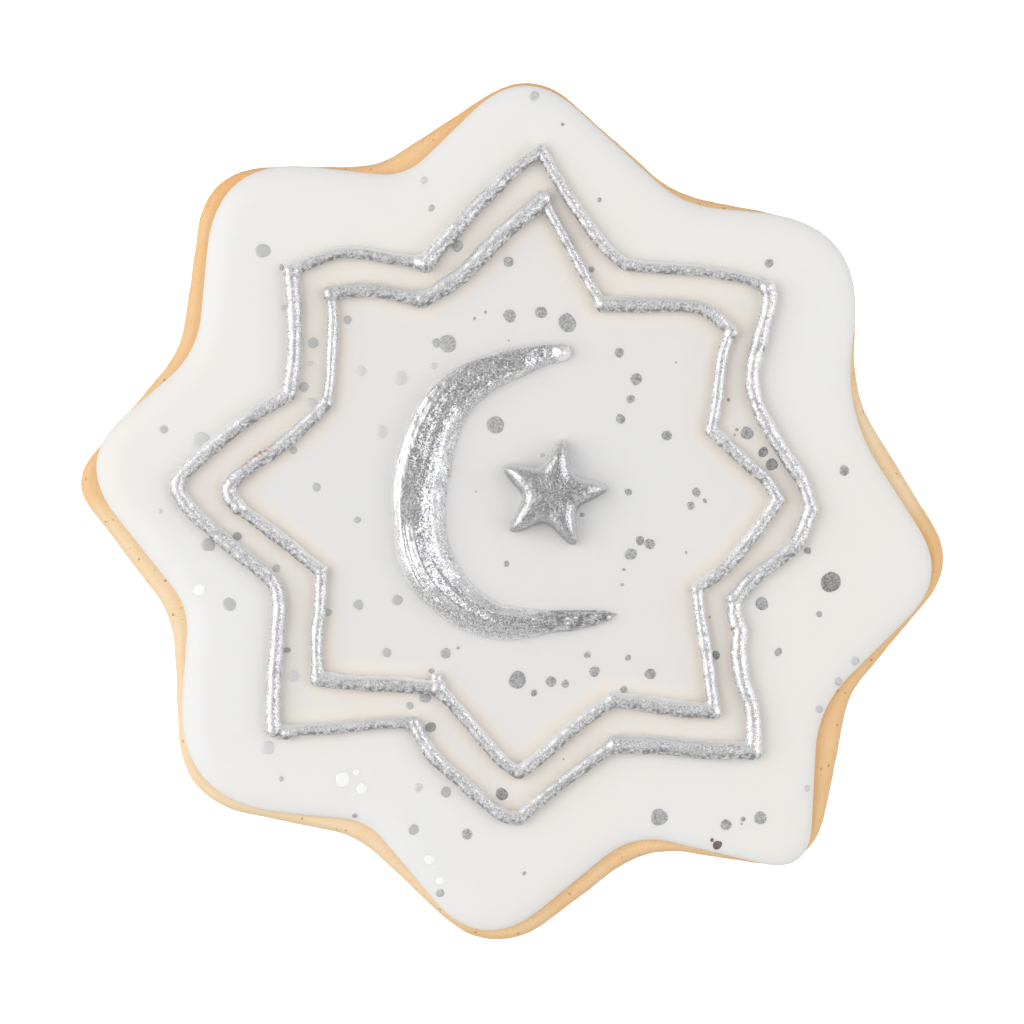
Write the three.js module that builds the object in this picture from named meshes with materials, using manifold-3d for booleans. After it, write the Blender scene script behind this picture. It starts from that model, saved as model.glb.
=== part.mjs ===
// Iced sugar cookie: an eight-pointed biscuit under flooded white icing, with two silver
// piped outlines, a raised silver crescent, a puffy silver star and a spatter of silver
// drops. Millimetres, +Z up. The biscuit lies on z = 0 with the middle of its outline at
// the origin, and +Y is the top of the design.

import * as THREE from 'three';
import { mergeVertices } from 'three/addons/utils/BufferGeometryUtils.js';
import Module from 'manifold-3d';

const wasm = await Module();
wasm.setup();

// ------------------------------------------------------------------ driving dimensions

const BISCUIT_THICKNESS = 6.5;
const ICING_THICKNESS = 1.8;
const ICING_TOP = BISCUIT_THICKNESS + ICING_THICKNESS;
const LINE_HEIGHT = 1.15;
const LINE_HALF_WIDTH = 0.65;
const CRESCENT_HEIGHT = 1.9;
const CRESCENT_HALF_WIDTH = 2.9;
const STAR_HEIGHT = 2.6;
const DROP_HEIGHT = 0.12;

// The cutter's eight points and the eight notches between them, clockwise from the top
// point. Each row is a corner of the straight flanks (x, y) and how far from that corner
// the flank starts to round off.
const BISCUIT_CORNERS = [
  [2.1, 47.2, 5.9], [17.3, 33.6, 3.4],
  [36.9, 29.9, 11.2], [36.0, 12.5, 5.0],
  [47.2, -5.5, 5.2], [35.7, -19.2, 2.8],
  [31.9, -38.1, 6.4], [14.2, -35.4, 4.6],
  [-2.1, -47.8, 7.7], [-16.2, -34.4, 3.0],
  [-35.0, -30.5, 7.2], [-35.9, -11.1, 3.2],
  [-46.8, 3.2, 3.6], [-35.0, 17.2, 3.2],
  [-32.4, 36.5, 7.0], [-14.1, 36.6, 2.8],
];

// The icing was flooded by hand, so its edge wanders from the biscuit's.
const ICING_CORNERS = [
  [1.3, 47.5, 7.5], [18.0, 32.3, 3.8],
  [37.4, 30.5, 11.4], [35.0, 10.5, 6.6],
  [46.1, -6.8, 6.2], [32.2, -20.6, 4.6],
  [31.3, -38.2, 5.2], [12.8, -33.8, 4.1],
  [-3.2, -46.9, 8.1], [-15.2, -32.5, 2.8],
  [-35.6, -30.6, 11.6], [-34.0, -10.1, 2.8],
  [-46.3, 5.4, 7.4], [-33.1, 16.8, 4.0],
  [-31.2, 37.4, 10.0], [-11.2, 35.3, 3.0],
];

// Side profiles: the widths and heights of the rounding at the foot and at the shoulder,
// and the levels that each rounding is made of.
const BISCUIT_SIDE = {
  footWidth: 0.6, footHeight: 1.6, footLevels: 2,
  shoulderWidth: 1.1, shoulderHeight: 1.9, shoulderLevels: 4,
};
const ICING_SIDE = {
  footWidth: 0.4, footHeight: 0.4, footLevels: 2,
  shoulderWidth: 3.2, shoulderHeight: 1.3, shoulderLevels: 5,
};
// Steps in each rounded corner of an outline.
const BISCUIT_ARC_STEPS = 5;
const ICING_ARC_STEPS = 7;
const STAR_ARC_STEPS = 4;

// Piped lines, clockwise from the top point. Each row is a corner (x, y), then the stretch
// from it to the next corner: how far its middle bows outwards, its width, and the extra
// radius of the blob where two strokes meet in the corner.
const OUTER_LINE = [
  [3.0, 38.0, -0.75, 1.3, 0], [12.0, 25.9, 0.6, 1.15, 0],
  [26.8, 23.6, 0.3, 1.75, 0], [25.3, 14.4, -0.45, 1.45, 0],
  [31.4, 0.3, 0.85, 1.6, 0], [23.4, -9.2, 0.2, 1.75, 0.15],
  [25.3, -25.0, 0, 1.9, 0], [10.8, -24.4, -0.35, 1.4, 0.15],
  [0.7, -32.1, 0.75, 1.4, 0.1], [-8.5, -25.3, 0, 1.4, 0], [-10.3, -22.1, 0.1, 1.25, 0],
  [-25.0, -22.8, 0, 1.6, 0], [-24.4, -8.0, 0.5, 1.4, 0],
  [-35.2, 2.6, 0.85, 1.75, 0], [-23.4, 12.4, -0.3, 1.7, 0],
  [-23.2, 25.3, 1.35, 1.3, 0.1], [-9.1, 26.1, 0.6, 1.75, 0.1],
];
const INNER_LINE = [
  [3.2, 32.9, -0.1, 1.1, 0.1], [9.5, 21.8, 0.1, 1.6, 0], [20.1, 21.5, 0.15, 1.3, 0],
  [22.6, 19.1, -0.2, 1.2, 0.15], [20.9, 8.6, 0.2, 1.35, 0],
  [27.9, 1.3, 0.5, 1.4, 0], [19.4, -8.1, 0, 1.3, 0],
  [21.2, -20.9, 0.1, 1.7, 0], [10.6, -19.7, 0, 1.5, 0.1],
  [0.7, -27.3, 0.4, 1.35, 0], [-7.8, -18.5, 0.25, 1.6, 0.45],
  [-20.4, -17.4, 0.2, 1.3, 0], [-20.0, -6.2, 0.4, 1.45, 0.15],
  [-29.8, 2.2, 0.2, 1.5, 0], [-19.5, 11.5, -0.4, 1.1, 0],
  [-19.1, 23.0, 0.5, 1.5, 0], [-9.5, 22.3, -0.1, 1.8, 0.2],
];
const OUTER_LINE_STEPS = 8;
const INNER_LINE_STEPS = 7;
// Flat sides over the arch of a piped line and of the crescent.
const LINE_SIDES = 6;
const CRESCENT_SIDES = 8;
const BLOB_REACH = 1.6;
const MITRE_LIMIT = 1.2;
// Waves of fuller and thinner piping along a line: share of the width, pace and phase.
const PIPING_WAVES = [[0.05, 1.7, 0], [0.04, 0.63, 1]];

// The crescent's spine from its blunt upper end to its pointed lower end: x, y and half
// the width there.
const CRESCENT_SPINE = [
  [6.5, 16.8, 1.0], [-1.3, 15.05, 1.8], [-6.3, 12.0, 2.4], [-9.5, 4.4, 2.85],
  [-9.4, -3.8, 2.85], [-5.3, -9.8, 2.3], [0.8, -11.7, 1.6], [7.1, -11.3, 1.05],
  [11.0, -10.7, 0.25],
];
const CRESCENT_STEPS = 36;
// The share of its length over which each end of the crescent rounds off, and how full
// the very end still is.
const CRESCENT_END = 0.06;
const CRESCENT_END_FULLNESS = 0.2;

const STAR = { x: 4.15, y: 1.9, tip: 7.3, tipRound: 2.9, notch: 3.05, notchRound: 0.9, turn: 6 };
const STAR_POINTS = 5;
// Nested copies of the star's outline, as scale and share of the height, make its soft
// ridges.
const STAR_RINGS = [
  [0.96, 0], [1, 0.2], [0.97, 0.5], [0.9, 0.72], [0.76, 0.88], [0.4, 0.97],
];

// The larger silver drops on the icing: x, y and radius.
const DROPS = [
  [-26.2, 27.5, 0.7], [-0.4, 26.3, 0.55], [-0.3, 20.6, 0.6], [3.0, 21.0, 0.6],
  [5.7, 19.9, 0.95], [-6.8, 17.7, 0.9], [-20.9, 17.8, 0.5], [-21.7, 13.1, 0.45],
  [13.0, 14.0, 0.6], [-1.8, 9.2, 0.85], [16.2, 8.1, 0.5], [26.3, 6.3, 0.5],
  [27.2, 5.0, 0.55], [-32.0, -3.5, 0.6], [12.4, -4.4, 0.65], [33.4, -7.3, 1.0],
  [-29.7, -9.7, 0.6], [-32.9, -8.2, 0.6], [26.2, -9.6, 0.7], [-12.1, -9.2, 0.5],
  [-16.2, -9.7, 0.5], [-7.0, -14.8, 0.55], [8.6, -16.7, 0.55], [14.5, -17.0, 0.55],
  [0.5, -17.6, 0.85], [4.0, -17.8, 0.5], [-17.8, -28.1, 0.75], [-15.8, -29.0, 0.55],
  [-7.0, -29.4, 0.55], [-1.3, -29.4, 0.5], [15.4, -32.0, 0.85], [26.0, -32.1, 0.6],
  [22.4, -32.8, 0.6], [-10.4, -33.3, 0.5], [-4.8, -33.8, 0.5], [21.5, -35.0, 0.55],
  [-11.6, 14.1, 0.7], [-13.7, 8.5, 0.6],
];
const DROP_SIDES = 10;
const DROP_DEPTH = 0.3;
// A drop's rim and brow, as shares of its radius and height.
const DROP_RIM = { radius: 1, height: 0.25 };
const DROP_BROW = { radius: 0.6, height: 0.85 };

// --------------------------------------------------------------------------- outlines

/** Closed outline whose flanks run straight from corner to corner and round off at each
 *  one by a quadratic arc. Rows of corners are x, y and rounding length. */
function roundedOutline(corners, arcSteps) {
  const points = [];
  corners.forEach(([x, y, round], i) => {
    const corner = new THREE.Vector2(x, y);
    const before = new THREE.Vector2(...corners.at(i - 1));
    const after = new THREE.Vector2(...corners[(i + 1) % corners.length]);
    const start = corner.clone().add(before.sub(corner).setLength(round));
    const end = corner.clone().add(after.sub(corner).setLength(round));
    points.push(...new THREE.QuadraticBezierCurve(start, corner, end).getPoints(arcSteps));
  });
  return THREE.ShapeUtils.isClockWise(points) ? points.reverse() : points;
}

/** Levels of a slab's side from its underside to its top, each an inset and a height:
 *  an elliptical foot, a straight wall and an elliptical shoulder. */
function sideLevels(bottom, top, side) {
  const levels = [];
  for (let k = 0; k <= side.footLevels; k += 1) {
    const angle = (Math.PI / 2) * (k / side.footLevels);
    levels.push({
      inset: side.footWidth * (1 - Math.sin(angle)),
      z: bottom + side.footHeight * (1 - Math.cos(angle)),
    });
  }
  for (let k = 0; k <= side.shoulderLevels; k += 1) {
    const angle = (Math.PI / 2) * (k / side.shoulderLevels);
    levels.push({
      inset: side.shoulderWidth * (1 - Math.cos(angle)),
      z: top - side.shoulderHeight * (1 - Math.sin(angle)),
    });
  }
  return levels;
}

// ----------------------------------------------------------------------------- solids

/** Geometry of a closed solid from its vertices and triangles. */
function closedGeometry(vertices, triangles) {
  const geometry = new THREE.BufferGeometry();
  geometry.setAttribute('position', new THREE.Float32BufferAttribute(vertices, 3));
  geometry.setIndex(triangles);
  return geometry;
}

/** Solid made of stacked copies of a counter-clockwise outline. Each level draws the
 *  outline in towards the middle by its inset, after its scale, and the last level is
 *  closed by a fan up to topZ. */
function stackedSolid(outline, levels, topZ) {
  const vertices = [];
  const triangles = [];
  const count = outline.length;
  for (const { inset = 0, scale = 1, z } of levels) {
    for (const point of outline) {
      const factor = scale - inset / point.length();
      vertices.push(point.x * factor, point.y * factor, z);
    }
  }
  const bottomMiddle = levels.length * count;
  const topMiddle = bottomMiddle + 1;
  vertices.push(0, 0, levels[0].z, 0, 0, topZ);
  const lastRing = (levels.length - 1) * count;
  for (let i = 0; i < count; i += 1) {
    const next = (i + 1) % count;
    for (let ring = 0; ring < lastRing; ring += count) {
      const [a, b] = [ring + i, ring + next];
      triangles.push(a, b, b + count, a, b + count, a + count);
    }
    triangles.push(bottomMiddle, next, i);
    triangles.push(topMiddle, lastRing + i, lastRing + next);
  }
  return closedGeometry(vertices, triangles);
}

/** Solid of a flat-bottomed bead that lies on z. Stations along it hold a centre, a half
 *  width and a height; a closed bead runs back into its own start, and an open one has a
 *  flat face at each end. */
function beadSolid(stations, sides, z, closed) {
  const vertices = [];
  const triangles = [];
  const count = stations.length;
  const ring = sides + 1;
  stations.forEach(({ centre, halfWidth, height }, i) => {
    const previous = closed || i > 0 ? stations.at(i - 1).centre : centre;
    const following = closed || i < count - 1 ? stations[(i + 1) % count].centre : centre;
    const incoming = centre.clone().sub(previous).normalize();
    const outgoing = following.clone().sub(centre).normalize();
    const along = incoming.clone().add(outgoing).normalize();
    const straight = incoming.lengthSq() > 0 ? incoming : outgoing;
    const mitre = Math.min(1 / along.dot(straight), MITRE_LIMIT);
    for (let k = 0; k <= sides; k += 1) {
      const angle = Math.PI * (k / sides);
      const across = Math.cos(angle) * halfWidth * mitre;
      vertices.push(
        centre.x - along.y * across,
        centre.y + along.x * across,
        z + Math.sin(angle) * height,
      );
    }
  });
  const spans = closed ? count : count - 1;
  for (let i = 0; i < spans; i += 1) {
    const here = i * ring;
    const there = ((i + 1) % count) * ring;
    for (let k = 0; k < ring; k += 1) {
      const next = (k + 1) % ring;
      triangles.push(here + k, here + next, there + next);
      triangles.push(here + k, there + next, there + k);
    }
  }
  if (!closed) {
    const last = (count - 1) * ring;
    for (let k = 1; k < sides; k += 1) {
      triangles.push(0, k + 1, k);
      triangles.push(last, last + k, last + k + 1);
    }
  }
  return closedGeometry(vertices, triangles);
}

/** The same solid as a manifold, which can be joined to others. */
function toManifold(geometry) {
  const bare = geometry.clone();
  bare.deleteAttribute('normal');
  bare.deleteAttribute('uv');
  const merged = mergeVertices(bare);
  return new wasm.Manifold(new wasm.Mesh({
    numProp: 3,
    vertProperties: new Float32Array(merged.attributes.position.array),
    triVerts: new Uint32Array(merged.index.array),
  }));
}

/** A manifold turned back into geometry. */
function toGeometry(manifold) {
  const mesh = manifold.getMesh();
  return closedGeometry(Array.from(mesh.vertProperties), Array.from(mesh.triVerts));
}

// ---------------------------------------------------------------------------- sub-parts

/** The baked biscuit: flat underside, upright edge and softly rounded shoulder. */
function biscuitGeometry() {
  const outline = roundedOutline(BISCUIT_CORNERS, BISCUIT_ARC_STEPS);
  const levels = sideLevels(0, BISCUIT_THICKNESS, BISCUIT_SIDE);
  return stackedSolid(outline, levels, BISCUIT_THICKNESS);
}

/** Height of the icing over a place inside its outline, lower where the rim rounds off. */
function icingSurface(x, y, outline) {
  const place = new THREE.Vector2(x, y);
  let inset = Infinity;
  outline.forEach((start, i) => {
    const run = outline[(i + 1) % outline.length].clone().sub(start);
    const share = THREE.MathUtils.clamp(place.clone().sub(start).dot(run) / run.lengthSq(), 0, 1);
    inset = Math.min(inset, start.clone().addScaledVector(run, share).distanceTo(place));
  });
  const rim = Math.max(0, 1 - inset / ICING_SIDE.shoulderWidth);
  return ICING_TOP - ICING_SIDE.shoulderHeight * (1 - Math.sqrt(1 - rim ** 2));
}

/** A low drop of silver at a height, which reaches a little way into the icing. */
function dropGeometry([x, y, radius], surface) {
  const profile = [
    new THREE.Vector2(0, -DROP_DEPTH),
    new THREE.Vector2(radius, -DROP_DEPTH),
    new THREE.Vector2(radius * DROP_RIM.radius, DROP_HEIGHT * DROP_RIM.height),
    new THREE.Vector2(radius * DROP_BROW.radius, DROP_HEIGHT * DROP_BROW.height),
    new THREE.Vector2(0, DROP_HEIGHT),
  ];
  const drop = new THREE.LatheGeometry(profile, DROP_SIDES);
  drop.rotateX(Math.PI / 2);
  drop.translate(x, y, surface);
  return drop;
}

/** The sheet of icing with its swollen rim, and the silver drops fused to its top. */
function icingGeometry() {
  const outline = roundedOutline(ICING_CORNERS, ICING_ARC_STEPS);
  const levels = sideLevels(BISCUIT_THICKNESS, ICING_TOP, ICING_SIDE);
  let icing = toManifold(stackedSolid(outline, levels, ICING_TOP));
  for (const drop of DROPS) {
    const surface = icingSurface(drop[0], drop[1], outline);
    icing = icing.add(toManifold(dropGeometry(drop, surface)));
  }
  return toGeometry(icing);
}

/** How much fuller or thinner than its stretch a piped line is at one station. */
function pipingWobble(index) {
  let fullness = 1;
  for (const [share, pace, phase] of PIPING_WAVES) {
    fullness += share * Math.sin(pace * index + phase);
  }
  return fullness;
}

/** A line piped from corner to corner and back to its start. */
function pipedLineGeometry(corners, steps) {
  const stations = [];
  corners.forEach(([x, y, bow, width, blob], i) => {
    const [, , , widthBefore] = corners.at(i - 1);
    const [nextX, nextY, , , nextBlob] = corners[(i + 1) % corners.length];
    const start = new THREE.Vector2(x, y);
    const run = new THREE.Vector2(nextX, nextY).sub(start);
    const outward = new THREE.Vector2(-run.y, run.x).normalize();
    for (let k = 0; k < steps; k += 1) {
      const t = k / steps;
      const centre = start.clone().addScaledVector(run, t);
      centre.addScaledVector(outward, bow * 4 * t * (1 - t));
      const fromStart = Math.max(0, 1 - (t * run.length()) / BLOB_REACH);
      const fromEnd = Math.max(0, 1 - ((1 - t) * run.length()) / BLOB_REACH);
      const swelling = blob * fromStart + nextBlob * fromEnd;
      const plain = k === 0 ? (width + widthBefore) / 4 : width / 2;
      const halfWidth = plain * pipingWobble(i * steps + k) + swelling;
      const height = LINE_HEIGHT * Math.sqrt(halfWidth / LINE_HALF_WIDTH);
      stations.push({ centre, halfWidth, height });
    }
  });
  return beadSolid(stations, LINE_SIDES, ICING_TOP, true);
}

/** The built-up crescent: one broad bead along its spine, rounded off at its ends. */
function crescentGeometry() {
  const spine = new THREE.CatmullRomCurve3(
    CRESCENT_SPINE.map(([x, y, halfWidth]) => new THREE.Vector3(x, y, halfWidth)),
  );
  const stations = [];
  for (let k = 0; k <= CRESCENT_STEPS; k += 1) {
    const t = k / CRESCENT_STEPS;
    const { x, y, z: halfWidth } = spine.getPointAt(t);
    const end = Math.min(1, Math.min(t, 1 - t) / CRESCENT_END);
    const fullness = Math.max(CRESCENT_END_FULLNESS, Math.sqrt(1 - (1 - end) ** 2));
    stations.push({
      centre: new THREE.Vector2(x, y),
      halfWidth: halfWidth * fullness,
      height: CRESCENT_HEIGHT * Math.sqrt(halfWidth / CRESCENT_HALF_WIDTH) * fullness,
    });
  }
  return beadSolid(stations, CRESCENT_SIDES, ICING_TOP, false);
}

/** The puffy star, with a soft ridge along each arm. */
function starGeometry() {
  const corners = [];
  for (let i = 0; i < 2 * STAR_POINTS; i += 1) {
    const [radius, round] = i % 2 === 0 ? [STAR.tip, STAR.tipRound] : [STAR.notch, STAR.notchRound];
    const angle = THREE.MathUtils.degToRad(STAR.turn + (180 / STAR_POINTS) * i);
    corners.push([radius * Math.cos(angle), radius * Math.sin(angle), round]);
  }
  const levels = STAR_RINGS.map(([scale, share]) => ({ scale, z: ICING_TOP + STAR_HEIGHT * share }));
  const outline = roundedOutline(corners, STAR_ARC_STEPS);
  return stackedSolid(outline, levels, ICING_TOP + STAR_HEIGHT);
}

// ------------------------------------------------------------------------------ scene

const bakedDough = new THREE.MeshStandardMaterial({ color: 0xf5cb90, roughness: 0.85, metalness: 0 });
const whiteIcing = new THREE.MeshStandardMaterial({ color: 0xf0eeea, roughness: 0.45, metalness: 0 });
const silverPaint = new THREE.MeshStandardMaterial({ color: 0xbfc0c4, roughness: 0.35, metalness: 0.9 });

const cookie = new THREE.Group();

/** Adds one named sub-part to the cookie. */
function addPart(name, geometry, material, x = 0, y = 0) {
  const mesh = new THREE.Mesh(geometry, material);
  mesh.name = name;
  mesh.position.set(x, y, 0);
  cookie.add(mesh);
}

addPart('biscuit', biscuitGeometry(), bakedDough);
addPart('icing', icingGeometry(), whiteIcing);
addPart('outer_line', pipedLineGeometry(OUTER_LINE, OUTER_LINE_STEPS), silverPaint);
addPart('inner_line', pipedLineGeometry(INNER_LINE, INNER_LINE_STEPS), silverPaint);
addPart('crescent', crescentGeometry(), silverPaint);
addPart('star', starGeometry(), silverPaint, STAR.x, STAR.y);

export default cookie;
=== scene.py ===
"""Iced sugar cookie: an eight-pointed biscuit under flooded white icing, with two silver
piped outlines, a built-up silver crescent, a puffy silver star and a silver spatter.

Each form is modelled in millimetres and is brought to metres when it is finished, in the
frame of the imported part: the biscuit lies on z = 0 and its iced face looks up. "Up the
design" is +y, and its right is +x.
"""

import logging
import math
from dataclasses import dataclass, field
from enum import Enum
from typing import Any, Callable, Sequence

import bmesh
import bpy
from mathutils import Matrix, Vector, kdtree, noise

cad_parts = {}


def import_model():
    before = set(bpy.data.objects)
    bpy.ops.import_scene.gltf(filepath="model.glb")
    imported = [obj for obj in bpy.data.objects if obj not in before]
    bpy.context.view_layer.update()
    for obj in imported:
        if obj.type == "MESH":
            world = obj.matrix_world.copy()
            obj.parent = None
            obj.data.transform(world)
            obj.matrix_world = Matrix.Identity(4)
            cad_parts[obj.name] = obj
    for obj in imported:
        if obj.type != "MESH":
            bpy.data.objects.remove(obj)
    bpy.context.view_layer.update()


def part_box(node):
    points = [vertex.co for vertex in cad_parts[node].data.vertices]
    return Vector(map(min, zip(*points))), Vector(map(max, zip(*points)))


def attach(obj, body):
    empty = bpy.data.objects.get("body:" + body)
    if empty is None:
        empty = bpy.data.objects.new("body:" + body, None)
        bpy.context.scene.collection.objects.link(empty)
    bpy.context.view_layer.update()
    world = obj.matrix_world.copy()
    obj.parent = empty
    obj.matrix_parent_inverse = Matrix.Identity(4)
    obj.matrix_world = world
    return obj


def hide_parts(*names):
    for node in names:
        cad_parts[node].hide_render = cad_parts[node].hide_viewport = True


log = logging.getLogger("iced_cookie")

MM = 0.001
BODY = "root"
ARC_STEPS = 12
NO_LENGTH = 1e-9

Corner = tuple[float, float, float]
Place = tuple[float, float]
Colour = tuple[float, float, float]
Mask = Callable[[Vector, Vector], float]


class Slot(Enum):
    """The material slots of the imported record."""

    DOUGH = "baked_dough"
    ICING = "white_icing"
    SILVER = "silver_paint"


# ------------------------------------------------------------------------------ tools


def deselect_all() -> None:
    """Leaves nothing selected."""
    bpy.ops.object.select_all(action="DESELECT")


def select_only(*pieces: bpy.types.Object) -> None:
    """Selects these pieces alone and makes the first one active.

    Args:
        pieces: what is selected.
    """
    deselect_all()
    for piece in pieces:
        piece.select_set(True)
    bpy.context.view_layer.objects.active = pieces[0]


def smooth_step(low: float, high: float, value: float) -> float:
    """Soft ramp from 0 at low to 1 at high."""
    share = min(1.0, max(0.0, (value - low) / (high - low)))
    return share * share * (3.0 - 2.0 * share)


@dataclass(frozen=True)
class Fade:
    """A soft ramp from 0 at one place to its full weight at another."""

    start: float
    full: float
    weight: float = 1.0

    def at(self, value: float) -> float:
        """The ramp's weight at a value."""
        return self.weight * smooth_step(self.start, self.full, value)


@dataclass(frozen=True)
class Ripple:
    """Smooth noise, its crests a wavelength apart, shifted by a seed so that two differ."""

    wavelength: float
    seed: float
    weight: float = 1.0

    def at(self, place: Vector) -> float:
        """The noise at a place in millimetres, from about minus to plus the weight."""
        shift = Vector((self.seed, -self.seed, 0.37 * self.seed))
        return self.weight * noise.noise(place / self.wavelength + shift)


def spaced_along(path: Sequence[Vector], count: int) -> list[tuple[Vector, Vector]]:
    """Cuts an open path into equal steps, measured in plan.

    Args:
        path: corners of the path, in order.
        count: how many steps it is cut into.

    Returns:
        One more pair than there are steps, each a point and the way the path runs there.
    """
    reach = [0.0]
    for start, end in zip(path, path[1:]):
        reach.append(reach[-1] + (end.xy - start.xy).length)
    pairs = []
    span = 0
    for index in range(count + 1):
        target = reach[-1] * index / count
        while span < len(path) - 2 and reach[span + 1] < target:
            span += 1
        share = (target - reach[span]) / max(reach[span + 1] - reach[span], NO_LENGTH)
        run = path[span + 1] - path[span]
        pairs.append((path[span].lerp(path[span + 1], share), run))
    return pairs


def curve_through(knots: Sequence[Vector], steps: Callable[[Vector, Vector], int]) -> list[Vector]:
    """Smooth open path through knots.

    Args:
        knots: what the path passes, in order.
        steps: gives how many steps the path takes from one knot to the next.

    Returns:
        Points of a Catmull-Rom curve, from the first knot to the last.
    """
    knots = [2 * knots[0] - knots[1], *knots, 2 * knots[-1] - knots[-2]]
    path: list[Vector] = []
    for before, start, end, after in zip(knots, knots[1:], knots[2:], knots[3:]):
        count = steps(start, end)
        for index in range(count):
            t = index / count
            path.append(0.5 * (2 * start + (end - before) * t
                               + (2 * before - 5 * start + 4 * end - after) * t ** 2
                               + (3 * start - before - 3 * end + after) * t ** 3))
    path.append(knots[-2])
    return path


def rounded_outline(corners: Sequence[Corner], count: int) -> list[Vector]:
    """Outline of a polygon whose corners are rounded off by quadratic arcs.

    Args:
        corners: x, y and how far the arc reaches along both edges, either way round.
        count: how many evenly spaced points to return.

    Returns:
        The points, counter-clockwise.
    """
    path: list[Vector] = []
    for index, (x, y, reach) in enumerate(corners):
        corner = Vector((x, y, 0.0))
        before = Vector((*corners[index - 1][:2], 0.0))
        after = Vector((*corners[(index + 1) % len(corners)][:2], 0.0))
        start = corner + (before - corner).normalized() * reach
        end = corner + (after - corner).normalized() * reach
        for step in range(ARC_STEPS + 1):
            share = step / ARC_STEPS
            path.append(start.lerp(corner, share).lerp(corner.lerp(end, share), share))
    area = sum(a.x * b.y - b.x * a.y for a, b in zip(path, path[1:] + path[:1]))
    if area < 0.0:
        path.reverse()
    return [point for point, _ in spaced_along([*path, path[0]], count)[:-1]]


def outward_normals(outline: Sequence[Vector], reach: int = 10) -> list[Vector]:
    """Normals that look out of an outline and turn slowly round its corners.

    Args:
        outline: evenly spaced points, counter-clockwise.
        reach: how many points on either side share in each normal.

    Returns:
        One unit normal for each point.
    """
    count = len(outline)
    runs = [outline[(index + 1) % count] - outline[index - 1] for index in range(count)]
    normals = []
    for index in range(count):
        near = (runs[(index + offset) % count] for offset in range(-reach, reach + 1))
        run = sum(near, Vector())
        normals.append(Vector((run.y, -run.x, 0.0)).normalized())
    return normals


class RingSolid:
    """A closed solid grown ring by ring in edit mode, from its underside to its crown."""

    def __init__(self, name: str, first: Sequence[Vector]) -> None:
        """Lays the first ring, filled as a fan.

        Args:
            name: name of the new piece.
            first: the points of the first ring.
        """
        deselect_all()
        bpy.ops.mesh.primitive_circle_add(vertices=len(first), radius=1.0, fill_type="TRIFAN")
        self.body = bpy.context.object
        self.body.name = name
        bpy.ops.object.mode_set(mode="EDIT")
        mesh = bmesh.from_edit_mesh(self.body.data)
        seat = mesh.verts.layers.int.new("seat")
        rim = [vertex for vertex in mesh.verts if vertex.is_boundary]
        for index, vertex in enumerate(rim):
            vertex.co = first[index]
            vertex[seat] = index
        for vertex in mesh.verts:
            if not vertex.is_boundary:
                vertex.co = sum(first, Vector()) / len(first)
        bpy.ops.mesh.select_all(action="DESELECT")
        for edge in mesh.edges:
            edge.select_set(edge.is_boundary)
        bmesh.update_edit_mesh(self.body.data)

    def grow(self, *rings: Sequence[Vector]) -> None:
        """Extrudes the open rim into new rings of points.

        Args:
            rings: the rings, each with as many points as the first one, in the same order.
        """
        for ring in rings:
            bpy.ops.mesh.extrude_region_move()
            mesh = bmesh.from_edit_mesh(self.body.data)
            seat = mesh.verts.layers.int["seat"]
            for vertex in mesh.verts:
                if vertex.select:
                    vertex.co = ring[vertex[seat]]

    def close(self, crown: Vector) -> bpy.types.Object:
        """Draws the open rim together at the crown.

        Args:
            crown: where the solid ends.

        Returns:
            The finished piece, in object mode.
        """
        bpy.ops.mesh.extrude_region_move()
        bpy.ops.mesh.merge(type="CENTER")
        mesh = bmesh.from_edit_mesh(self.body.data)
        for vertex in mesh.verts:
            if vertex.select:
                vertex.co = crown
        mesh.verts.layers.int.remove(mesh.verts.layers.int["seat"])
        bpy.ops.mesh.select_all(action="SELECT")
        bpy.ops.mesh.normals_make_consistent(inside=False)
        bpy.ops.object.mode_set(mode="OBJECT")
        bpy.ops.object.shade_smooth()
        return self.body


@dataclass(frozen=True)
class Relief:
    """A cloudy relief: the size of its lumps, its whole height and the level that stays."""

    name: str
    grain: float
    height: float
    middle: float = 0.5

    def press(self, piece: bpy.types.Object) -> None:
        """Pushes a piece's surface in and out along its normals.

        Args:
            piece: the piece, still in millimetres.
        """
        clouds = bpy.data.textures.new(self.name, "CLOUDS")
        clouds.noise_scale = self.grain
        clouds.noise_depth = 2
        relief = piece.modifiers.new(self.name, "DISPLACE")
        relief.texture = clouds
        relief.texture_coords = "LOCAL"
        relief.strength = self.height
        relief.mid_level = self.middle
        select_only(piece)
        bpy.ops.object.modifier_apply(modifier=self.name)


def paint_mask(piece: bpy.types.Object, name: str, amount: Mask) -> None:
    """Stores a value on each vertex, for a finish to read.

    Args:
        piece: the piece, still in millimetres.
        name: name of the attribute.
        amount: gives the value at a place and for the normal there.
    """
    mask = piece.data.attributes.new(name, "FLOAT", "POINT")
    values = [amount(vertex.co, vertex.normal) for vertex in piece.data.vertices]
    mask.data.foreach_set("value", values)


def fit_piece(piece: bpy.types.Object, material: bpy.types.Material,
              node: str) -> bpy.types.Object:
    """Brings a finished piece to metres, dresses it and hands it to the frame.

    Args:
        piece: the finished piece, in millimetres.
        material: its finish.
        node: the CAD node that it stands for.

    Returns:
        The same piece.
    """
    select_only(piece)
    piece.scale = (MM, MM, MM)
    bpy.ops.object.transform_apply(location=True, rotation=True, scale=True)
    piece.data.materials.clear()
    piece.data.materials.append(material)
    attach(piece, BODY)
    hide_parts(node)
    log.info("%s: %d faces, stands for %s", piece.name, len(piece.data.polygons), node)
    return piece


# --------------------------------------------------------------------------- finishes


def rgba(colour: Any) -> Any:
    """A colour with its alpha, or the socket as it is."""
    return colour if isinstance(colour, bpy.types.NodeSocket) else (*colour, 1.0)


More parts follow.
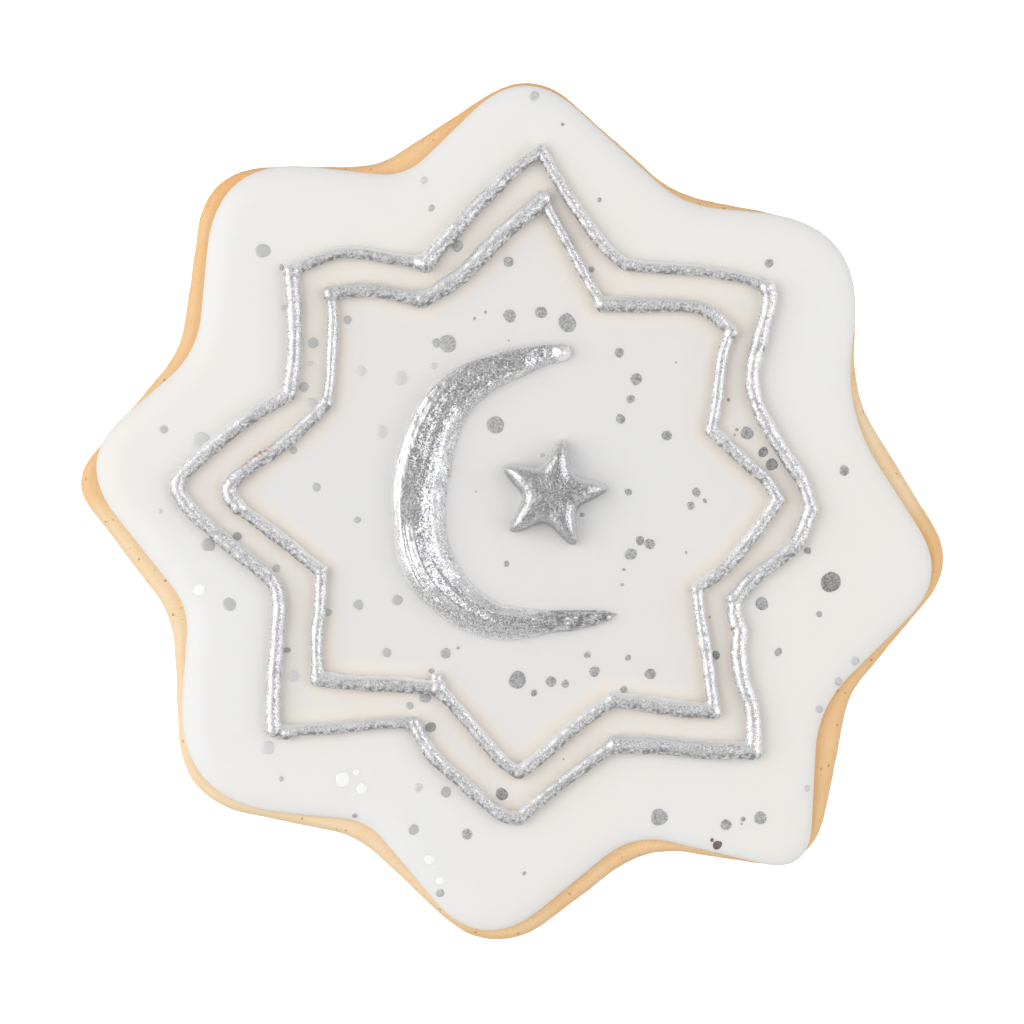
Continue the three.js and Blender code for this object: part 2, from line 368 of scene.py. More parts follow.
class Wiring:
    """Adds shader nodes to one tree and links them."""

    def __init__(self, tree: bpy.types.NodeTree) -> None:
        """Takes the tree that the nodes go into."""
        self.tree = tree

    def feed(self, node: bpy.types.Node, values: dict[Any, Any]) -> None:
        """Gives a node its inputs.

        Args:
            node: the node that is fed.
            values: its inputs by name or number, each a constant or a socket to link.
        """
        for key, value in values.items():
            if isinstance(value, bpy.types.NodeSocket):
                self.tree.links.new(value, node.inputs[key])
            else:
                node.inputs[key].default_value = value

    def add(self, kind: str, values: dict[Any, Any] | None = None,
            **settings: Any) -> bpy.types.Node:
        """Adds one node.

        Args:
            kind: the node's type, without its "ShaderNode" beginning.
            values: its inputs, as feed takes them.
            settings: its own properties.

        Returns:
            The new node.
        """
        node = self.tree.nodes.new("ShaderNode" + kind)
        for name, value in settings.items():
            setattr(node, name, value)
        self.feed(node, values or {})
        return node

    def math(self, operation: str, first: Any, second: Any,
             clamped: bool = False) -> bpy.types.NodeSocket:
        """Joins two numbers.

        Args:
            operation: the Math node's operation.
            first: number or socket.
            second: number or socket.
            clamped: keeps the result from 0 to 1.

        Returns:
            The result's socket.
        """
        node = self.add("Math", {0: first, 1: second}, operation=operation, use_clamp=clamped)
        return node.outputs[0]

    def vector_math(self, operation: str, first: Any,
                    values: dict[Any, Any] | None = None) -> bpy.types.NodeSocket:
        """Changes a vector.

        Args:
            operation: the Vector Math node's operation.
            first: vector or socket.
            values: the node's other inputs, as feed takes them.

        Returns:
            The result's socket.
        """
        return self.add("VectorMath", {0: first, **(values or {})}, operation=operation).outputs[0]

    def blend(self, share: Any, first: Any, second: Any) -> bpy.types.NodeSocket:
        """Mixes two colours by a share.

        Args:
            share: socket or number from 0, all first, to 1, all second.
            first: colour or socket.
            second: colour or socket.

        Returns:
            The mixed colour's socket.
        """
        mix = self.add("Mix", {0: share, 6: rgba(first), 7: rgba(second)}, data_type="RGBA")
        return mix.outputs[2]

    def ramp(self, value: bpy.types.NodeSocket, low: float, high: float,
             start: float = 0.0, end: float = 1.0) -> bpy.types.NodeSocket:
        """Maps a value smoothly from one range to another.

        Args:
            value: socket that is read.
            low: value that gives start.
            high: value that gives end.
            start: result at low.
            end: result at high.

        Returns:
            The result's socket.
        """
        node = self.add("MapRange", {"Value": value, "From Min": low, "From Max": high,
                                     "To Min": start, "To Max": end},
                        interpolation_type="SMOOTHSTEP")
        return node.outputs["Result"]

    def mask(self, name: str) -> bpy.types.NodeSocket:
        """Reads a mask that paint_mask stored."""
        return self.add("Attribute", attribute_name=name).outputs["Fac"]

    def place(self) -> bpy.types.NodeSocket:
        """The place on the piece, in metres."""
        return self.add("TexCoord").outputs["Object"]

    def effect(self, group: bpy.types.NodeTree, values: dict[Any, Any]) -> bpy.types.Node:
        """Places a shared effect with its own values.

        Args:
            group: the effect's node group.
            values: its inputs, as feed takes them.

        Returns:
            The placed node.
        """
        node = self.add("Group", node_tree=group)
        self.feed(node, values)
        return node


def new_group(name: str, inputs: dict[str, Any],
              outputs: dict[str, str]) -> tuple[Wiring, bpy.types.Node, bpy.types.Node]:
    """Makes an empty shader node group.

    Args:
        name: the group's name.
        inputs: the default of each input, a number or a colour with its alpha.
        outputs: the socket type of each output.

    Returns:
        The group's wiring, its input node and its output node.
    """
    group = bpy.data.node_groups.new(name, "ShaderNodeTree")
    for title, value in inputs.items():
        kind = "NodeSocketColor" if isinstance(value, tuple) else "NodeSocketFloat"
        socket = group.interface.new_socket(title, in_out="INPUT", socket_type=kind)
        socket.default_value = value
    for title, kind in outputs.items():
        group.interface.new_socket(title, in_out="OUTPUT", socket_type="NodeSocket" + kind)
    return Wiring(group), group.nodes.new("NodeGroupInput"), group.nodes.new("NodeGroupOutput")


class SharedEffects:
    """The node groups that several finishes use, each built once."""

    def __init__(self) -> None:
        """Builds both groups."""
        self.mottle = self.build_mottle()
        self.lustre = self.build_lustre()

    @staticmethod
    def build_mottle() -> bpy.types.NodeTree:
        """Builds a cloudy mask with a fine grain over it.

        Returns:
            A group that puts out a mask and a height.
        """
        wiring, start, end = new_group("soft_mottle", {"Clouds": 60.0, "Grain": 3000.0},
                                       {"Mask": "Float", "Height": "Float"})
        place = wiring.place()
        clouds = wiring.add("TexNoise", {"Vector": place, "Scale": start.outputs["Clouds"],
                                         "Detail": 3.0, "Roughness": 0.55})
        grain = wiring.add("TexNoise", {"Vector": place, "Scale": start.outputs["Grain"],
                                        "Detail": 4.0, "Roughness": 0.6})
        wiring.feed(end, {"Mask": wiring.ramp(clouds.outputs[0], 0.3, 0.7),
                          "Height": grain.outputs[0]})
        return wiring.tree

    @staticmethod
    def build_lustre() -> bpy.types.NodeTree:
        """Builds silver flakes, each with its own brightness, gloss and tilt; a mask input paints
        light and shade on them and lays them flatter where it is lifted.

        Returns:
            A group that puts out a colour, a roughness and a normal.
        """
        wiring, start, end = new_group(
            "silver_lustre",
            {"Flakes": 6000.0, "Tilt": 0.3, "Dark": (0.3, 0.3, 0.31, 1.0),
             "Bright": (0.9, 0.9, 0.92, 1.0), "Gloss": 0.4, "Painted_light_and_smoothing": 0.0},
            {"Color": "Color", "Roughness": "Float", "Normal": "Vector"})
        asked = start.outputs
        place = wiring.place()
        flakes = wiring.add("TexVoronoi", {"Vector": place, "Scale": asked["Flakes"]})
        finer_scale = wiring.math("MULTIPLY", asked["Flakes"], 1.9)
        finer = wiring.add("TexVoronoi", {"Vector": place, "Scale": finer_scale})
        flake = wiring.blend(0.4, flakes.outputs["Color"], finer.outputs["Color"])
        chance = wiring.add("SeparateColor", {0: flake}).outputs

        dust = wiring.add("TexNoise", {"Vector": place, "Scale": 900.0, "Detail": 3.0})
        dusting = wiring.ramp(dust.outputs[0], 0.3, 0.7, -0.14, 0.14)
        bright = wiring.math("ADD", wiring.ramp(chance[0], 0.2, 0.75), dusting)
        # Painted light and shade: the mask lifts the flakes' brightness, or lowers it where it is
        # below 0.
        lifted = wiring.math("ADD", bright, asked["Painted_light_and_smoothing"], clamped=True)
        gloss = wiring.math("ADD", asked["Gloss"], wiring.ramp(chance[1], 0.1, 0.9, -0.08, 0.12))

        # Where the mask is lifted the flakes lie flatter.
        unlifted = wiring.math("SUBTRACT", 1.0, asked["Painted_light_and_smoothing"])
        lean = wiring.math("MULTIPLY", asked["Tilt"], unlifted)
        centred = wiring.vector_math("SUBTRACT", flake, {1: (0.5, 0.5, 0.5)})
        push = wiring.vector_math("SCALE", centred, {"Scale": lean})
        shape = wiring.add("NewGeometry").outputs["Normal"]
        leaned = wiring.vector_math("ADD", shape, {1: push})
        wiring.feed(end, {"Color": wiring.blend(lifted, asked["Dark"], asked["Bright"]),
                          "Roughness": gloss,
                          "Normal": wiring.vector_math("NORMALIZE", leaned)})
        return wiring.tree


def new_material(name: str) -> tuple[bpy.types.Material, Wiring, bpy.types.Node]:
    """Makes a material with one Principled shader.

    Args:
        name: the material's name.

    Returns:
        The material, the wiring of its tree and its shader node.
    """
    material = bpy.data.materials.new(name)
    material.use_nodes = True
    tree = material.node_tree
    return material, Wiring(tree), tree.nodes["Principled BSDF"]


@dataclass(frozen=True)
class Translucence:
    """How far light wanders inside a food: its share, its reach in metres and its tint."""

    share: float
    reach: float
    tint: Colour

    def inputs(self) -> dict[str, Any]:
        """The shader's inputs for it."""
        return {"Subsurface Weight": self.share, "Subsurface Scale": self.reach,
                "Subsurface Radius": self.tint}


@dataclass(frozen=True)
class DoughFinish:
    """Baked sugar dough: pale gold, browner where the oven reached it, with fine pores; the bake
    mask it reads also carries painted light and shade.
    """

    pale: Colour = (0.97, 0.75, 0.50)
    gold: Colour = (0.93, 0.61, 0.32)
    browned: Colour = (0.92, 0.50, 0.18)
    pore: Colour = (0.60, 0.33, 0.14)
    clouds_per_m: float = 190.0
    grains_per_m: float = 4200.0
    pores_per_m: float = 1100.0
    pore_drift: float = 0.0003
    bump: float = 0.00006
    roughness: float = 0.82
    specular: float = 0.3
    translucence: Translucence = Translucence(0.1, 0.0008, (1.0, 0.5, 0.25))

    def material(self, effects: SharedEffects) -> bpy.types.Material:
        """Builds the material.

        Args:
            effects: the shared node groups.

        Returns:
            The finished material.
        """
        material, wiring, shader = new_material("baked_sugar_dough")
        mottle = wiring.effect(effects.mottle, {"Clouds": self.clouds_per_m,
                                                "Grain": self.grains_per_m}).outputs
        uneven = wiring.math("ADD", wiring.ramp(mottle["Mask"], 0.0, 1.0, -0.07, 0.07),
                             wiring.ramp(mottle["Height"], 0.3, 0.7, -0.13, 0.13))
        # The dough's browning, mixed with painted light at the bottom and on the left and painted
        # shade towards the top.
        bake_light_and_shade_level = wiring.math("ADD", wiring.mask("bake_light_and_shade"), uneven)
        colour = wiring.blend(wiring.ramp(bake_light_and_shade_level, 0.0, 0.5), self.pale, self.gold)
        colour = wiring.blend(wiring.ramp(bake_light_and_shade_level, 0.5, 1.0), colour, self.browned)
        pores = self.pores(wiring)
        depth = wiring.math("SUBTRACT", pores, mottle["Height"])
        bump = wiring.add("Bump", {"Strength": 0.5, "Distance": self.bump, "Height": depth},
                          invert=True)
        rough = wiring.ramp(mottle["Height"], 0.2, 0.8, self.roughness - 0.1,
                            self.roughness + 0.1)
        wiring.feed(shader, {"Base Color": wiring.blend(pores, colour, self.pore),
                             "Roughness": rough, "Normal": bump.outputs[0],
                             "Specular IOR Level": self.specular,
                             **self.translucence.inputs()})
        return material

    def pores(self, wiring: Wiring) -> bpy.types.NodeSocket:
        """Scatters ragged pores.

        Args:
            wiring: the material's wiring.

        Returns:
            A mask that is 1 in the middle of a pore.
        """
        place = wiring.place()
        drift = wiring.add("TexNoise", {"Vector": place, "Scale": 2600.0, "Detail": 1.0})
        ragged = wiring.vector_math("MULTIPLY_ADD", drift.outputs["Color"],
                                    {1: (self.pore_drift,) * 3, 2: place})
        cells = wiring.add("TexVoronoi", {"Vector": ragged, "Scale": self.pores_per_m}).outputs
        chance = wiring.add("SeparateColor", {0: cells["Color"]}).outputs[0]
        return wiring.math("MULTIPLY", wiring.ramp(chance, 0.68, 0.78),
                           wiring.ramp(cells["Distance"], 0.1, 0.24, 1.0, 0.0))


@dataclass(frozen=True)
class IcingFinish:
    """Set sugar icing: warm white, smooth, with a soft sheen."""

    cool: Colour = (0.880, 0.880, 0.875)
    warm: Colour = (0.895, 0.870, 0.840)
    # Painted warm shade: a warm tint that stands in for the bounce-lit shade beside and between
    # the beads.
    valley_shade: Colour = (0.97, 0.88, 0.77)
    # A darker grey within the outer outline.
    inside_grey: Colour = (0.79, 0.785, 0.78)
    clouds_per_m: float = 45.0
    grains_per_m: float = 1500.0
    bump: float = 0.00003
    roughness: float = 0.42
    specular: float = 0.4
    translucence: Translucence = Translucence(0.25, 0.0012, (1.0, 0.8, 0.6))

    def material(self, effects: SharedEffects) -> bpy.types.Material:
        """Builds the material.

        Args:
            effects: the shared node groups.

        Returns:
            The finished material.
        """
        material, wiring, shader = new_material("white_sugar_icing")
        mottle = wiring.effect(effects.mottle, {"Clouds": self.clouds_per_m,
                                                "Grain": self.grains_per_m}).outputs
        colour = wiring.blend(mottle["Mask"], self.cool, self.warm)
        colour = wiring.blend(wiring.mask("inside"), colour, self.inside_grey)
        # Painted warm shade beside and between the beads.
        colour = wiring.blend(wiring.mask("valley_shade"), colour, self.valley_shade)
        rough = wiring.ramp(mottle["Height"], 0.25, 0.75, self.roughness - 0.06,
                            self.roughness + 0.06)
        bump = wiring.add("Bump", {"Strength": 0.12, "Distance": self.bump,
                                   "Height": mottle["Height"]})
        wiring.feed(shader, {"Base Color": colour, "Roughness": rough,
                             "Normal": bump.outputs[0], "Specular IOR Level": self.specular,
                             **self.translucence.inputs()})
        return material


@dataclass(frozen=True)
class SilverFinish:
    """Brushed-on silver lustre: metal flakes that glint each their own way."""

    name: str
    dark: Colour
    bright: Colour
    tilt: float
    gloss: float = 0.4
    metallic: float = 0.92
    flakes_per_m: float = 9000.0
    tarnished: Colour = (0.60, 0.33, 0.18)
    # Painted shade: the dark colour of shade specks on down-facing flanks and along the crescent's
    # tail.
    speckled_shade: Colour = (0.2, 0.2, 0.205)

    def material(self, effects: SharedEffects) -> bpy.types.Material:
        """Builds the material.

        Args:
            effects: the shared node groups.

        Returns:
            The finished material.
        """
        material, wiring, shader = new_material(self.name)
        # The lustre takes a mask of painted light and shade that also lays the flakes flatter.
        lustre = wiring.effect(effects.lustre, {
            "Flakes": self.flakes_per_m, "Tilt": self.tilt, "Gloss": self.gloss,
            "Dark": rgba(self.dark), "Bright": rgba(self.bright),
            "Painted_light_and_smoothing": wiring.mask("painted_light_and_smoothing")}).outputs
        colour = wiring.blend(wiring.mask("tarnish"), lustre["Color"], self.tarnished)
        # Painted shade in dark specks.
        colour = wiring.blend(wiring.mask("speckled_shade"), colour, self.speckled_shade)
        wiring.feed(shader, {"Base Color": colour, "Roughness": lustre["Roughness"],
                             "Normal": lustre["Normal"], "Metallic": self.metallic})
        return material


# ---------------------------------------------------------------- biscuit and icing


@dataclass(frozen=True)
class SideProfile:
    """How a slab's side curves: an elliptical foot and an elliptical shoulder."""

    foot_width: float
    foot_height: float
    foot_steps: int
    shoulder_width: float
    shoulder_height: float
    shoulder_steps: int

    def levels(self, bottom: float, top: float) -> list[tuple[float, float]]:
        """Insets and heights of the side's rings, from the underside to the top.

        Args:
            bottom: height of the underside.
            top: height of the top.

        Returns:
            Pairs of an inset and a height.
        """
        pairs = []
        for step in range(self.foot_steps + 1):
            angle = math.pi / 2 * step / self.foot_steps
            pairs.append((self.foot_width * (1 - math.sin(angle)),
                          bottom + self.foot_height * (1 - math.cos(angle))))
        for step in range(self.shoulder_steps + 1):
            angle = math.pi / 2 * step / self.shoulder_steps
            pairs.append((self.shoulder_width * (1 - math.cos(angle)),
                          top - self.shoulder_height * (1 - math.sin(angle))))
        return pairs


def shrunk(ring: Sequence[Vector], share: float) -> list[Vector]:
    """The ring scaled towards the middle of the slab, at its own height."""
    return [Vector((point.x * share, point.y * share, point.z)) for point in ring]


@dataclass(frozen=True)
class Slab:
    """A flat slab with rounded corners, grown from the middle below to the middle above."""

    name: str
    points: int
    side: SideProfile
    underside_shares: tuple[float, ...]
    top_shares: tuple[float, ...]
    corners: tuple[Corner, ...]

    def build(self, bottom: float, top: float) -> bpy.types.Object:
        """Models the slab.

        Args:
            bottom: height of the underside.
            top: height of the top.

        Returns:
            The slab, in millimetres.
        """
        outline = rounded_outline(self.corners, self.points)
        normals = outward_normals(outline)
        rings = []
        for inset, height in self.side.levels(bottom, top):
            rings.append([point - normal * inset + Vector((0.0, 0.0, height))
                          for point, normal in zip(outline, normals)])
        solid = RingSolid(self.name, shrunk(rings[0], self.underside_shares[0]))
        solid.grow(*(shrunk(rings[0], share) for share in self.underside_shares[1:]))
        solid.grow(*rings[1:])
        solid.grow(*(shrunk(rings[-1], share) for share in self.top_shares))
        return solid.close(Vector((0.0, 0.0, top)))


def even_shares(count: int) -> tuple[float, ...]:
    """Shares in equal steps from just above 0 up to 1."""
    return tuple(index / count for index in range(1, count + 1))


@dataclass
class Biscuit:
    """The baked dough under the icing."""

    top: float
    flat_zone: float = 0.02
    side_waves: tuple[Ripple, ...] = (Ripple(3.4, 5.0, 0.08), Ripple(1.1, 9.0, 0.04))
    underside_lift: float = 0.05
    underside_waves: Ripple = Ripple(2.6, 2.0, 0.05)
    crumb: Relief = Relief("dough_crumb", 0.35, 0.07, 1.0)
    mean_bake: float = 0.46
    patches: Ripple = Ripple(6.0, 3.0, 0.1)
    point_bake: Fade = Fade(39.0, 47.0, 0.24)
    foot_bake: Fade = Fade(1.6, 0.0, 0.3)
    # Painted shade: browner towards the top, except at the far left.
    top_shade: Fade = Fade(8.0, 30.0, 0.14)
    top_shade_right: Fade = Fade(-34.0, -22.0)
    # Painted light: paler at the bottom, more so to the left, and paler on the left side from a
    # little above the middle down.
    bottom_light: Fade = Fade(-20.0, -32.0)
    bottom_light_share: float = 0.16
    bottom_light_left: Fade = Fade(4.0, -10.0, 0.2)
    left_light: Fade = Fade(-12.0, -34.0, 0.42)
    left_light_below: Fade = Fade(9.0, -3.0)
    # Paler round the right point.
    right_pale: Fade = Fade(13.0, 4.0, 0.38)
    right_pale_middle: Place = (40.0, 7.0)
    slab: Slab = Slab(
        name="biscuit_dough", points=620,
        side=SideProfile(foot_width=0.6, foot_height=1.6, foot_steps=5,
                         shoulder_width=1.1, shoulder_height=1.9, shoulder_steps=7),
        underside_shares=even_shares(34), top_shares=(0.97, 0.93, 0.88, 0.7, 0.4, 0.1),
        corners=(
            (2.1, 47.2, 5.9), (17.3, 33.6, 3.4), (36.9, 29.9, 11.2), (36.0, 12.5, 5.0),
            (47.2, -5.5, 5.2), (35.7, -19.2, 2.8), (31.9, -38.1, 6.4), (14.2, -35.4, 4.6),
            (-2.1, -47.8, 7.7), (-16.2, -34.4, 3.0), (-35.0, -30.5, 7.2), (-35.9, -11.1, 3.2),
            (-46.8, 3.2, 3.6), (-35.0, 17.2, 3.2), (-32.4, 36.5, 7.0), (-14.1, 36.6, 2.8)))

    def build(self, finish: bpy.types.Material) -> bpy.types.Object:
        """Models and dresses the biscuit.

        Args:
            finish: the baked dough.

        Returns:
            The finished piece.
        """
        piece = self.slab.build(0.0, self.top)
        self.crumble(piece)
        # Browning, with painted light and shade mixed in.
        paint_mask(piece, "bake_light_and_shade", self.browning_light_and_shade)
        return fit_piece(piece, finish, "biscuit")

    def crumble(self, piece: bpy.types.Object) -> None:
        """Makes the side and the underside uneven, and gives the dough its crumb.

        Args:
            piece: the smooth biscuit.
        """
        for vertex in piece.data.vertices:
            place = vertex.co
            reach = math.hypot(place.x, place.y)
            outward = Vector((place.x, place.y, 0.0)) / max(reach, NO_LENGTH)
            if self.flat_zone < place.z < self.top - self.flat_zone:
                vertex.co = place + outward * sum(wave.at(place) for wave in self.side_waves)
            elif place.z <= self.flat_zone:
                place.z += self.underside_lift + self.underside_waves.at(place)
        self.crumb.press(piece)

    def browning_light_and_shade(self, place: Vector, _normal: Vector) -> float:
        """How far the dough is baked, with painted light and shade mixed in: deeper at the points
        and below, paler round the right point, painted light at the bottom and on the left,
        painted shade towards the top.

        Args:
            place: where it is asked, in millimetres.
            _normal: the normal there, which doesn't count.

        Returns:
            0 where it is palest to 1 where it is brownest.
        """
        browner = self.point_bake.at(math.hypot(place.x, place.y)) + self.foot_bake.at(place.z)
        # Painted shade: browner towards the top.
        browner += self.top_shade.at(place.y) * self.top_shade_right.at(place.x)
        # Painted light: paler at the bottom and on the left.
        near = self.bottom_light_share + self.bottom_light_left.at(place.x)
        paler = near * self.bottom_light.at(place.y)
        paler += self.left_light.at(place.x) * self.left_light_below.at(place.y)
        paler += self.right_pale.at((place.xy - Vector(self.right_pale_middle)).length)
        level = self.mean_bake + browner - paler + self.patches.at(place)
        return min(1.0, max(0.0, level))


@dataclass
class IcingCoat:
    """The flooded icing that covers the biscuit nearly to its edge."""

    bottom: float
    top: float
    beads: kdtree.KDTree
    fence: kdtree.KDTree
    surface_depth: float = 0.9
    tint_depth: float = 0.5
    swells: tuple[Ripple, ...] = (Ripple(15.0, 1.0, 0.05), Ripple(5.0, 4.0, 0.02))
    sag: float = 0.03
    dip: float = 0.06
    dip_width: float = 1.5
    # Shares and reach of the painted warm shade beside the beads.
    valley_shade_share: float = 0.15
    valley_shade_share_inside: float = 0.4
    valley_reach: Fade = Fade(3.2, 1.0)
    inside_tint: float = 0.5
    fence_edge: Fade = Fade(1.5, -1.5)
    slab: Slab = Slab(
        name="icing_coat", points=700,
        side=SideProfile(foot_width=0.4, foot_height=0.4, foot_steps=4,
                         shoulder_width=3.2, shoulder_height=1.3, shoulder_steps=12),
        underside_shares=(0.05, 0.3, 0.6, 0.85, 0.95, 1.0), top_shares=even_shares(84)[-2::-1],
        corners=(
            (1.3, 47.5, 7.5), (18.0, 32.3, 3.8), (37.4, 30.5, 11.4), (35.0, 10.5, 6.6),
            (46.1, -6.8, 6.2), (32.2, -20.6, 4.6), (31.3, -38.2, 5.2), (12.8, -33.8, 4.1),
            (-3.2, -46.9, 8.1), (-15.2, -32.5, 2.8), (-35.6, -30.6, 11.6), (-34.0, -10.1, 2.8),
            (-46.3, 5.4, 7.4), (-33.1, 16.8, 4.0), (-31.2, 37.4, 10.0), (-11.2, 35.3, 3.0)))

    def build(self, finish: bpy.types.Material) -> bpy.types.Object:
        """Models and dresses the icing.

        Args:
            finish: the set icing.

        Returns:
            The finished piece.
        """
        piece = self.slab.build(self.bottom, self.top)
        self.settle(piece)
        # Painted warm shade beside the beads, and a darker grey within the outer outline.
        paint_mask(piece, "valley_shade", self.valley_shade)
        paint_mask(piece, "inside", self.inside)
        return fit_piece(piece, finish, "icing")

    def settle(self, piece: bpy.types.Object) -> None:
        """Lets the flooded surface swell and sink a little, and dip beside the beads.

        Args:
            piece: the smooth icing.
        """
        for vertex in piece.data.vertices:
            place = vertex.co
            if place.z < self.top - self.surface_depth:
                continue
            distance = self.beads.find((place.x, place.y, 0.0))[2]
            dip = self.dip * math.exp(-(distance / self.dip_width) ** 2)
            place.z += sum(swell.at(place) for swell in self.swells) - self.sag - dip

    def valley_shade(self, place: Vector, _normal: Vector) -> float:
        """Share of the painted warm shade beside the beads, most of it within the outer outline.

        Args:
            place: where it is asked, in millimetres.
            _normal: the normal there, which doesn't count.

        Returns:
            The share, from 0 to 1.
        """
        if place.z < self.top - self.tint_depth:
            return 0.0
        distance = self.beads.find((place.x, place.y, 0.0))[2]
        tint = self.valley_shade_share + self.valley_shade_share_inside * self.within(place)
        return tint * self.valley_reach.at(distance)

    def inside(self, place: Vector, _normal: Vector) -> float:
        """Share of the duller tint within the outer outline."""
        return self.inside_tint * self.within(place)

    def within(self, place: Vector) -> float:
        """Tells whether a place lies within the outer outline.

        Args:
            place: the place, in millimetres.

        Returns:
            1 within the outline, 0 beyond it and below the top, with a soft edge.
        """
        if place.z < self.top - self.tint_depth:
            return 0.0
        outer = self.fence.find((place.x, place.y, 0.0))[0]
        return self.fence_edge.at(place.xy.length - outer.xy.length)


# ---------------------------------------------------------------------- silver piping


@dataclass(frozen=True)
class FlankLight:
    """Painted light: flanks that face up the design are lighter and smoother, those that face down
    it a little darker.
    """

    unevenness: Ripple = Ripple(2.4, 21.0, 0.25)
    upper: Fade = Fade(0.3, 0.62, 0.5)
    lower: Fade = Fade(-0.2, -0.6, 0.1)

    def at(self, place: Vector, normal: Vector) -> float:
        """How much light is painted at a place: more on flanks that face up the design, a little
        less on those that face down it.
        """
        lean = normal.y + self.unevenness.at(place)
        return self.upper.at(lean) - self.lower.at(lean)


@dataclass(frozen=True)
class Stroke:
    """One pull of the piping bag: its two end widths and the places its middle passes."""

    start_width: float
    end_width: float
    places: tuple[Place, ...]

    def middle(self, step: float) -> list[Vector]:
        """Evenly stepped points along the stroke's middle."""
        return curve_through([Vector((x, y, 0.0)) for x, y in self.places],
                             lambda start, end: max(1, round((end - start).length / step)))


@dataclass
class PipedOutline:
    """A pointed outline piped in silver icing, stroke after stroke."""

    name: str
    node: str
    seed: float
    base: float
    strokes: tuple[Stroke, ...]
    blobs: tuple[Corner, ...]
    height_of_mean: float = 1.15
    mean_half_width: float = 0.65
    step: float = 0.3
    slow_swell: float = 0.09
    quick_swell: float = 0.05
    end_swell: float = 1.02
    rope_roundness: int = 5
    voxel: float = 0.13
    slack: float = 0.5
    slack_rounds: int = 4
    wobble_size: float = 1.6
    wobble: float = 0.16
    grain_size: float = 0.22
    grain: float = 0.07
    # Painted light on flanks that face up the design.
    flank_light: FlankLight = FlankLight()
    # Painted light on the outer flanks of the right half and on the upper flanks.
    right_half: Fade = Fade(3.0, 14.0)
    outer_flank_light: Fade = Fade(0.25, 0.6, 0.3)
    outer_unevenness: Ripple = Ripple(3.1, 5.0, 0.2)
    upper_flank_light: Fade = Fade(0.3, 0.7, 0.3)
    # Painted shade in dark specks on flanks that face down the design.
    lower_flank_shade: Fade = Fade(-0.05, -0.6, 0.7)
    lower_unevenness: Ripple = Ripple(1.6, 4.0, 0.25)
    speck_pattern: Ripple = Ripple(0.36, 13.0)
    specks: Fade = Fade(-0.1, 0.25)

    def middles(self) -> list[Vector]:
        """Points along the middle of every stroke."""
        return [point for stroke in self.strokes for point in stroke.middle(self.step)]

    def height(self, half_width: float) -> float:
        """How high a bead of that half width stands."""
        return self.height_of_mean * math.sqrt(half_width / self.mean_half_width)

    def build(self, finish: bpy.types.Material) -> bpy.types.Object:
        """Models and dresses the piped outline.

        Args:
            finish: the silver lustre.

        Returns:
            The finished piece.
        """
        ropes = self.pull_ropes()
        select_only(ropes, *self.drop_blobs())
        bpy.ops.object.join()
        ropes.name = self.name
        self.fuse(ropes)
        Relief(self.name + "_wobble", self.wobble_size, self.wobble).press(ropes)
        Relief(self.name + "_grain", self.grain_size, self.grain).press(ropes)
        bpy.ops.object.shade_smooth()
        # Painted light on the flanks.
        paint_mask(ropes, "painted_light_and_smoothing", self.paint)
        # Painted shade in dark specks on the lower flanks.
        paint_mask(ropes, "speckled_shade", self.speckled_shade_mask)
        paint_mask(ropes, "tarnish", self.tarnish)
        return fit_piece(ropes, finish, self.node)

    def half_width(self, stroke: Stroke, share: float, place: Vector) -> float:
        """Half width of a stroke, uneven as a hand pulls it.

        Args:
            stroke: the stroke.
            share: how far along it, from 0 to 1.
            place: where that is, in millimetres.

        Returns:
            The half width in millimetres.
        """
        plain = (stroke.start_width * (1 - share) + stroke.end_width * share) / 2
        slow = Ripple(3.2, self.seed, self.slow_swell).at(place)
        return plain * (1 + slow + Ripple(1.1, self.seed, self.quick_swell).at(place))

    def pull_ropes(self) -> bpy.types.Object:
        """Pulls a round rope along every stroke.

        Returns:
            All ropes as one mesh, in millimetres.
        """
        deselect_all()
        bpy.ops.curve.primitive_bezier_curve_add()
        ropes = bpy.context.object
        curve = ropes.data
        curve.splines.clear()
        curve.dimensions = "3D"
        curve.bevel_depth = 1.0
        curve.bevel_resolution = self.rope_roundness
        curve.use_fill_caps = True
        for stroke in self.strokes:
            path = stroke.middle(self.step)
            spline = curve.splines.new("POLY")
            spline.points.add(len(path) - 1)
            for index, (knot, place) in enumerate(zip(spline.points, path)):
                half = self.half_width(stroke, index / (len(path) - 1), place)
                knot.co = (place.x, place.y, self.base + self.height(half) - half, 1.0)
                knot.radius = half
        bpy.ops.object.convert(target="MESH")
        return ropes

    def drop_blobs(self) -> list[bpy.types.Object]:
        """Rounds off the stroke ends and adds the blobs where the bag was lifted.

        Returns:
            One ball for each end and blob, in millimetres.
        """
        balls = []
        for stroke in self.strokes:
            for share, (x, y) in ((0.0, stroke.places[0]), (1.0, stroke.places[-1])):
                half = self.half_width(stroke, share, Vector((x, y, 0.0)))
                balls.append((x, y, half * self.end_swell))
        made = []
        for x, y, radius in (*balls, *self.blobs):
            height = self.base + self.height(radius) - radius
            bpy.ops.mesh.primitive_ico_sphere_add(subdivisions=3, radius=radius,
                                                  location=(x, y, height))
            made.append(bpy.context.object)
        return made

    def fuse(self, ropes: bpy.types.Object) -> None:
        """Runs ropes and blobs together into one skin.

        Args:
            ropes: the ropes and blobs, joined.
        """
        select_only(ropes)
        skin = ropes.modifiers.new("skin", "REMESH")
        skin.mode = "VOXEL"
        skin.voxel_size = self.voxel
        bpy.ops.object.modifier_apply(modifier="skin")
        slack = ropes.modifiers.new("slack", "SMOOTH")
        slack.factor = self.slack
        slack.iterations = self.slack_rounds
        bpy.ops.object.modifier_apply(modifier="slack")

